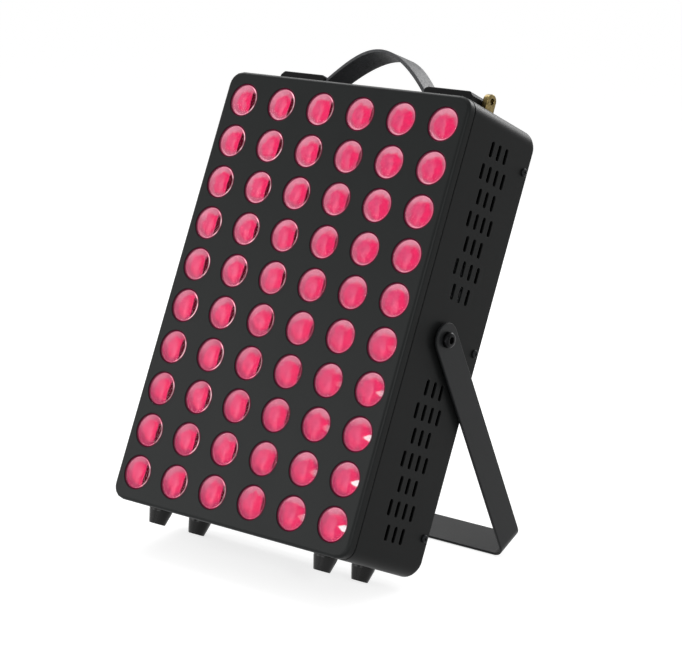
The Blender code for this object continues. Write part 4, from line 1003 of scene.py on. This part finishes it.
def makeSideScrews(s):
    for side, sign in sides.items():
        for level, z in s["z"].items():
            screw = screwPart((sign * s["x"], s["y"], z), (sign, 0.0, 0.0), s)
            addPiece(f"cross_screw_{side}_{level}", [screw], blackScrew,
                     standsFor=f"side_screw_{side}_{level}", smoothAngle=35.0)


def makeGuardScrews(level, z, corner, s):
    parts = [screwPart((x, guard["spokeY"] - s["sunk"], z + up), rearward, s)
             for x in (-corner, corner) for up in (-corner, corner)]
    addPiece(f"guard_screws_{level}", parts, blackScrew, smoothAngle=35.0)


for fanLevel, fanZ in fan["heights"].items():
    makeFanFrame(fanLevel, fanZ, fan)
    makeRotor(fanLevel, fanZ, rotor)
    makeGuard(fanLevel, fanZ, fan["screw"], guard)
makeSideScrews(sideScrew)
for fanLevel, fanZ in fan["heights"].items():
    makeGuardScrews(fanLevel, fanZ, fan["screw"], guardScrew)
print("fans, guards and screws made")

# Folding bracket: one flat strip with round ends, bent to a U

bracket = {"along": radians(39.75), "width": 22.5, "thickness": 2.0, "armOuter": 109.1,
           "bend": 9.0, "reach": 181.79, "edge": 0.6, "beside": 0.5, "armSteps": 30,
           "bendSteps": 12, "crossSteps": 24}


# the strip is made flat, its length along x. Its length is then followed over the crossbar,
# round a bend and up an arm on either side, with height measured outwards from its middle
def makeBracket(s):
    half, width, edge, reach = s["thickness"] / 2, s["width"] / 2, s["edge"], s["reach"]
    midRadius = s["bend"] - half
    cross, bend = s["armOuter"] - s["bend"], midRadius * pi / 2
    straightEnd = cross + bend + reach - s["bend"]
    stripHalf = straightEnd + width
    ends = (-straightEnd, -cross - bend, -cross, cross, cross + bend, straightEnd)
    counts = (s["armSteps"], s["bendSteps"], s["crossSteps"], s["bendSteps"], s["armSteps"])
    stops = [np.linspace(start, end, count)[:-1]
             for start, end, count in zip(ends, ends[1:], counts)]
    rim = rimDirections(14, np.append(np.concatenate(stops), straightEnd) / straightEnd)
    strip = (stripHalf, width)
    rings = [(straightEnd, 0.0, 0.0, half), insetRing(strip, width, edge + s["beside"], half)]
    rings += [insetRing(strip, width, inset, half - drop) for inset, drop in edgeSteps(edge, 4)]
    run, height, across = np.moveaxis(rimRings(mirrored(rings), rim), -1, 0)
    far = np.abs(run)
    turn = np.clip((far - cross) / midRadius, 0.0, pi / 2)
    up = np.maximum(far - cross - bend, 0.0)
    x = np.sign(run) * (np.minimum(far, cross) + (midRadius + height) * np.sin(turn))
    down = reach - s["bend"] + (midRadius + height) * np.cos(turn) - up
    alongY, alongZ = cos(s["along"]), -sin(s["along"])
    y = pivotPlace["y"] + down * alongY - across * alongZ
    z = pivotPlace["z"] + down * alongZ + across * alongY
    addPiece("folding_bracket", [gridPart(np.stack((x, y, z), -1))], litBracketCoat,
             standsFor="stand", body="bracket", smoothAngle=50.0)


makeBracket(bracket)

pivot = {"x": 109.4, "head": 11.0, "rise": 3.4, "recess": 4.6 / cos(pi / 6), "depth": 2.0,
         "shank": 5.8, "reach": 14.4, "crown": 0.62, "washerX": 105.3, "washer": 8.0,
         "washerBore": 3.2, "washerThickness": 1.5, "washerEdge": 0.3}


def makePivots(s):
    ring = discProfile(s["washer"], 0.0, s["washerThickness"], s["washerEdge"],
                       bore=s["washerBore"])
    for side, sign in sides.items():
        place, axis = (sign * s["x"], *pivotPlace.values()), (sign, 0.0, 0.0)
        addPiece(f"hex_screw_{side}", [screwPart(place, axis, s, hexOutline, 72)], pivotSteel,
                 standsFor=f"pivot_screw_{side}", smoothAngle=35.0)
        washer = turnedPart(ring, (sign * s["washerX"], *place[1:]), axis, wrapRows=True)
        addPiece(f"friction_washer_{side}", [washer], washerNylon,
                 standsFor=f"pivot_washer_{side}")


makePivots(pivot)
print("bracket and pivots made")

# Feet: moulded cones on a screw from below

foot = {"x": 74.0, "y": {"front": 19.3, "rear": 62.0}, "top": -155.05, "height": 10.25,
        "topRadius": 8.1, "skirt": 1.4, "footRadius": 5.6, "well": 3.2, "wellDepth": 4.5,
        "bore": 1.7, "radii": [0.0, 0.15, 0.8, 0.4, 0.7, 0.4, 0.2, 0.0]}
footScrew = {**crossHead, "sunk": 0.3, "rise": 2.0, "recess": 2.9, "depth": 0.9, "reach": 11.5}


def makeFeet(s, screwSettings):
    low, top, sole, bore, well = -s["height"], s["topRadius"], s["footRadius"], s["bore"], s["well"]
    floor = low + s["wellDepth"]
    profile = roundCorners([(bore, 0.0), (top, 0.0), (top - 0.15, -s["skirt"]),
                            (sole + 0.3, low + 1.0), (sole, low), (well, low), (well, floor),
                            (bore, floor)], s["radii"], closed=True)
    for row, y in s["y"].items():
        for side, sign in sides.items():
            place = (sign * s["x"], y, s["top"])
            cone = turnedPart(profile, place, (0.0, 0.0, 1.0), wrapRows=True)
            addPiece(f"rubber_foot_{row}_{side}", [cone], footRubber,
                     standsFor=f"foot_{row}_{side}", smoothAngle=50.0)
            under = (place[0], y, s["top"] + floor - screwSettings["sunk"])
            addPiece(f"foot_fixing_{row}_{side}",
                     [screwPart(under, (0.0, 0.0, -1.0), screwSettings)], zincSteel,
                     standsFor=f"foot_screw_{row}_{side}", smoothAngle=35.0)


makeFeet(foot, footScrew)

# Strap handle: a springy band that arches between two caps. At its top its rear edge lies a
# little further to the right than its front edge

strap = {"y": 37.7, "width": 19.6, "thickness": 2.4, "base": 155.3, "rise": 31.2, "span": 48.5,
         "soft": 0.06, "end": 79.0, "skew": 3.2, "edge": 0.35, "top": 2.0}


# height = rise * (c + hypot(c, soft)) / 2, with c = cos(pi / 2 * x / span)
def strapHeight(x, s):
    swing = np.where(np.abs(x) < 2 * s["span"], np.cos(pi / 2 * x / s["span"]), -1.0)
    return s["rise"] * (swing + np.hypot(swing, s["soft"])) / 2


# a rounded section carried along the arch, each edge pushed the other way along it at the top
def makeStrap(s):
    x = np.linspace(-s["end"], s["end"], 181)
    height = strapHeight(x, s)
    slope = np.gradient(height, x)
    normal = unit(np.stack((-slope, np.ones_like(slope)), 1))
    half, thick, edge = s["width"] / 2, s["thickness"] / 2, s["edge"]
    near, away = rimDirections(5, np.linspace(-1, 1, 9))
    section = near * (half - edge, thick - edge) + edge * away
    across, lift = section[:, 0], section[:, 1] + s["top"] - thick
    share = np.clip(1 - np.abs(x) / s["span"], 0.0, 1.0)
    push = s["skew"] * (share * share * (3 - 2 * share))[:, None] * across / half
    grid = np.stack((x[:, None] + lift * normal[:, :1] + push, s["y"] + across + 0 * push,
                     s["base"] + height[:, None] + lift * normal[:, 1:]), -1)
    addPiece("strap_band", [gridPart(closeEnds(grid))], strapVinyl,
             standsFor="handle_strap", smoothAngle=60.0, weigh=False)


makeStrap(strap)

cap = {"start": 43.5, "end": 84.0, "height": 10.4, "width": 22.6, "outer": 2.8, "inner": 1.4,
       "edge": 1.0, "radii": [0.3, 0.6, 1.0, 2.0, 2.0, 0.8]}


def makeCaps(s):
    start, end, high, slant = s["start"], s["end"], s["height"], s["outer"]
    outline = roundCorners([(start, 0.0), (end, 0.0), (end, high - slant), (end - slant, high),
                            (start + slant, high), (start, high - s["inner"])], s["radii"],
                           closed=True)
    block = slabGrid(outline, s["width"] / 2, s["edge"], 4)
    for side, sign in sides.items():
        grid = block * (sign, 1.0, 1.0) + (0.0, strap["y"], strap["base"])
        addPiece(f"end_cap_{side}", [gridPart(grid)], capPlastic,
                 standsFor=f"handle_cap_{side}", smoothAngle=50.0)


makeCaps(cap)
print("feet and strap handle made")

# Brass hanging eye: a cast lug with an arched top and a countersunk bore, on a threaded stud

eye = {"x": 87.0, "y": 43.0, "base": 155.3, "arch": 5.0, "height": 8.8, "half": 2.3,
       "bore": 1.8, "edge": 0.7, "sink": 0.5, "shank": 1.4, "reach": 6.0, "steps": 72}


# each row is the lug's outline or its bore, seen along x: distance from the bore's middle in
# each direction. Below the middle the outline follows straight sides down to a flat base
def makeEyes(s):
    angle = circleAngles(s["steps"])
    across, up = np.cos(angle), np.sin(angle)
    beside = s["arch"] / np.maximum(np.abs(across), 0.001)
    below = s["height"] / np.maximum(-up, 0.001)
    outline = np.where(up > 0, s["arch"], np.minimum(beside, below))
    half, sink = s["half"], s["sink"]
    bore = s["bore"] + 0 * outline
    face = [(bore, sink - half), (bore + sink, -half)]
    face += [(outline - inset, drop - half) for inset, drop in edgeSteps(s["edge"], 4)]
    radius, thick = (np.stack(column) for column in zip(*mirrored(face)))
    stud = discProfile(s["shank"], -s["reach"], 1.0, [0.0, 0.3, 0.2, 0.0])
    for side, sign in sides.items():
        x = sign * (s["x"] + thick)[:, None] + 0 * angle
        grid = np.stack((x, s["y"] + radius * across, s["base"] + s["height"] + radius * up), -1)
        parts = [gridPart(grid, wrapRows=True),
                 turnedPart(stud, (sign * s["x"], s["y"], s["base"]), (0.0, 0.0, 1.0), 24)]
        addPiece(f"brass_eye_{side}", parts, brass,
                 standsFor=f"hanging_eye_{side}", smoothAngle=45.0)


makeEyes(eye)

# Switches and the power inlet

switch = {"x": {"red": 30.0, "infrared": 56.0}, "z": -116.0, "rear": 84.3, "flange": (7.5, 10.5),
          "thickness": 2.0, "corner": 1.2, "cornerShare": 0.75, "edge": 0.8, "body": (6.5, 9.5),
          "bodyCorner": 0.6, "bodyFront": 69.3, "window": (5.3, 8.3), "windowCorner": 0.5,
          "windowEdge": 0.2, "wellFront": 75.3}
rocker = {"axisY": 83.3, "half": 5.0, "length": 7.6, "crest": 3.4, "shoulder": 0.4, "dip": 2.0,
          "dipRise": 0.55, "belly": 4.2, "edge": 0.4, "tilt": radians(8.0)}


# a body behind a flange with a rounded rear edge, as rings from the body's closed front
def flangedRings(s):
    (flangeX, flangeZ), corner, rear = s["flange"], s["corner"], s["rear"]
    front = rear - s["thickness"]
    body = (*s["body"], s["bodyCorner"])
    rings = [(0.0, 0.0, 0.0, s["bodyFront"]), (*body, s["bodyFront"]), (*body, front),
             insetRing(s["flange"], corner, 0.1, front),
             insetRing(s["flange"], corner, 0.0, front + 0.1)]
    return rings + [(flangeX - drop, flangeZ - drop, corner - s["cornerShare"] * drop, rear - inset)
                    for inset, drop in edgeSteps(s["edge"], 4)]


def makeSwitchBody(name, x, s):
    window, corner, well = s["window"], s["windowCorner"], s["wellFront"]
    rings = flangedRings(s)
    rings += [(window[0] + inset, window[1] + inset, corner, s["rear"] - drop)
              for inset, drop in edgeSteps(s["windowEdge"], 2)]
    rings += [(*window, corner, well), (0.0, 0.0, 0.0, well)]
    grid = rimRings(rings, rimDirections(), (x, s["z"]))
    addPiece(f"switch_case_{name}", [gridPart(grid)], inletPlastic,
             standsFor=f"switch_body_{name}")


# the rocker's side outline is a shallow V over a half round, turned on its axis and carried
# across
def makeRocker(name, x, z, s):
    length, crest, shoulder, dip = s["length"], s["crest"], s["shoulder"], s["dip"]
    belly = [(s["belly"] * cos(t), s["belly"] * sin(t)) for t in np.linspace(pi, 2 * pi, 9)]
    slope = dip + s["dipRise"]
    outline = [(-length, crest), (-length, shoulder)] + belly
    outline += [(length, shoulder), (length, crest), (length / 2, slope), (0.0, dip),
                (-length / 2, slope)]
    radii = [0.5, 0.4] + [0.0] * len(belly) + [0.4, 0.5, 3.0, 1.2, 3.0]
    run, rise = roundCorners(outline, radii, closed=True).T
    turnSin, turnCos = sin(s["tilt"]), cos(s["tilt"])
    flat = np.stack((run * turnCos - rise * turnSin, run * turnSin + rise * turnCos), 1)
    grid = slabGrid(flat, s["half"], s["edge"], 3)[..., [1, 2, 0]] + (x, s["axisY"], z)
    addPiece(f"rocker_{name}", [gridPart(grid)], rockerPlastic,
             standsFor=f"switch_rocker_{name}", body=f"{name}_rocker")


for switchName, switchX in switch["x"].items():
    makeSwitchBody(switchName, switchX, switch)
    makeRocker(switchName, switchX, switch["z"], rocker)

inlet = {"x": -66.0, "z": -116.0, "flange": (15.5, 12.0), "corner": 2.0, "cornerShare": 0.8,
         "edge": 1.0, "thickness": 3.0, "rear": 85.3, "body": (13.5, 10.0), "bodyCorner": 0.6,
         "bodyFront": 68.0, "well": (11.75, 8.0), "wellCorner": 0.8, "key": 4.5,
         "wellDepth": 14.0, "wellEdge": ((0.3, 0.0), (0.1, 0.1), (0.0, 0.3)),
         "pin": (1.0, 5.5, 2.0), "pinInto": 0.6, "pinCorner": 0.4, "pinEdge": 0.35,
         "pinSpacing": 7.0, "pinStep": 3.0}


# the well's outline is a rectangle whose two upper corners are cut off, with as many stops as
# a rim
def keyedRing(inset, y, s):
    near, away = rimDirections()
    upper = near[:, 1:] > 0
    radius = np.where(upper, s["key"], s["wellCorner"])
    chamfer = away / np.abs(away).sum(1, keepdims=True)
    half = np.asarray(s["well"]) + inset
    flat = near * (half - radius) + radius * np.where(upper, chamfer, away)
    return deepRows([flat + (s["x"], s["z"])], [y])


def makeInlet(s):
    rear, floor = s["rear"], s["rear"] - s["wellDepth"]
    outer = rimRings(flangedRings(s), rimDirections(), (s["x"], s["z"]))
    well = [keyedRing(inset, rear - depth, s) for inset, depth in s["wellEdge"]]
    well.append(keyedRing(0.0, floor, s))
    middle = np.tile((s["x"], floor, s["z"]), (1, outer.shape[1], 1))
    addPiece("inlet_socket", [gridPart(np.concatenate((outer, *well, middle)))], inletPlastic,
             standsFor="power_inlet")
    pins = []
    for n, up in ((-1, -0.5), (0, 0.5), (1, -0.5)):
        place = (s["x"] + n * s["pinSpacing"], floor + s["pin"][1] - s["pinInto"],
                 s["z"] + up * s["pinStep"])
        pins.append(blockPart(s["pin"], place, s["pinCorner"], s["pinEdge"]))
    addPiece("inlet_pins", pins, zincSteel)


makeInlet(inlet)
print("eyes, switches and inlet made")

# Inner CAD nodes keep their shape and get their materials

for finish, names in ((aluminium, ("heat_sink", "heat_sink_rail_right", "heat_sink_rail_left",
                                   "lamp_driver_right", "lamp_driver_left")),
                      (zincSteel, ("rivet_nut_right", "rivet_nut_left", "handle_screw_right",
                                   "handle_screw_left"))):
    for name in names:
        for materialSlot in nodes[name].material_slots:
            materialSlot.material = finish

# Floor, light and camera

stageLook = {"floorSize": 30.0, "floorColour": "#B4B4B4", "floorGlow": 0.77, "ambient": 0.50}
white = (1.0, 1.0, 1.0, 1.0)


# 1 for what the camera sees, straight, in a reflection or through the clear caps, else 0
def seenRays(tree):
    rays = addNode(tree, "LightPath").outputs
    return maths("MAXIMUM", rays["Is Camera Ray"], rays["Is Glossy Ray"],
                 rays["Is Transmission Ray"])


# Paper sweep: the eye sees a matt, even, light ground with a soft shadow
def makeFloor(s):
    material, shader = startMaterial("paperSweepFloor")[:2]
    connect(shader, {"Base Color": hexToLinear(s["floorColour"]), "Roughness": 0.9,
                     "Specular IOR Level": 0.0, "Emission Color": white,
                     "Emission Strength": times(seenRays(material.node_tree), s["floorGlow"])})
    mesh = bpy.data.meshes.new("floor")
    half = s["floorSize"] / 2
    mesh.from_pydata([(-half, -half, 0.0), (half, -half, 0.0), (half, half, 0.0),
                      (-half, half, 0.0)], [], [(0, 1, 2, 3)])
    mesh.materials.append(material)
    addObject("floor", mesh)


def makeWorld(s):
    world = bpy.data.worlds.new("studio")
    bpy.context.scene.world = world
    world.use_nodes = True
    level = remap(seenRays(world.node_tree), s["ambient"], 1.0)
    connect(world.node_tree.nodes["Background"], {"Color": white, "Strength": level})


lamps = [{"name": "overhead left softbox", "place": (-0.75, 0.40, 1.30), "aim": (0.0, 0.05, 0.1),
          "size": (0.9, 0.9), "power": 10.0},
         {"name": "front left softbox", "place": (-1.3, -1.6, 0.5), "aim": (0.0, 0.0, 0.1),
          "size": (1.3, 1.1), "power": 12.0},
         {"name": "low front softbox", "place": (0.15, -0.8, 0.10), "aim": (0.0, -0.05, 0.08),
          "size": (0.5, 0.14), "power": 0.9},
         {"name": "edge light, front right", "place": (1.55, -1.05, 0.75), "aim": (0.1, 0.0, 0.2),
          "size": (0.35, 0.35), "power": 8.0},
         {"name": "rear softbox", "place": (0.15, 1.5, 0.90), "aim": (0.05, 0.0, 0.28),
          "size": (0.9, 0.5), "power": 12.0}]


def makeLamp(s):
    light = bpy.data.lights.new(s["name"], "AREA")
    light.shape = "RECTANGLE"
    light.size, light.size_y = s["size"]
    light.energy = s["power"]
    lampObject = addObject(s["name"], light)
    lampObject.location = s["place"]
    aim = Vector(s["aim"]) - Vector(s["place"])
    lampObject.rotation_euler = aim.to_track_quat("-Z", "Y").to_euler()


# camera solved from the photograph's lens grid: its place, and its view and up directions
camera = {"place": (0.9615, -1.15784, 0.4696), "view": (-0.6190, 0.7590, -0.2018),
          "up": (-0.1514, 0.1368, 0.9789), "lens": 118.8, "sensor": 36.0}


def makeCamera(s):
    data = bpy.data.cameras.new("camera")
    data.lens = s["lens"]
    data.sensor_width = s["sensor"]
    cameraObject = addObject("camera", data)
    back = -Vector(s["view"]).normalized()
    right = Vector(s["up"]).cross(back).normalized()
    turn = Matrix((right, back.cross(right), back)).transposed()
    cameraObject.matrix_world = Matrix.Translation(Vector(s["place"])) @ turn.to_4x4()
    bpy.context.scene.camera = cameraObject


makeFloor(stageLook)
makeWorld(stageLook)
for lampSettings in lamps:
    makeLamp(lampSettings)
makeCamera(camera)
bpy.context.scene.view_settings.view_transform = "Standard"
print("stage, light and camera made")
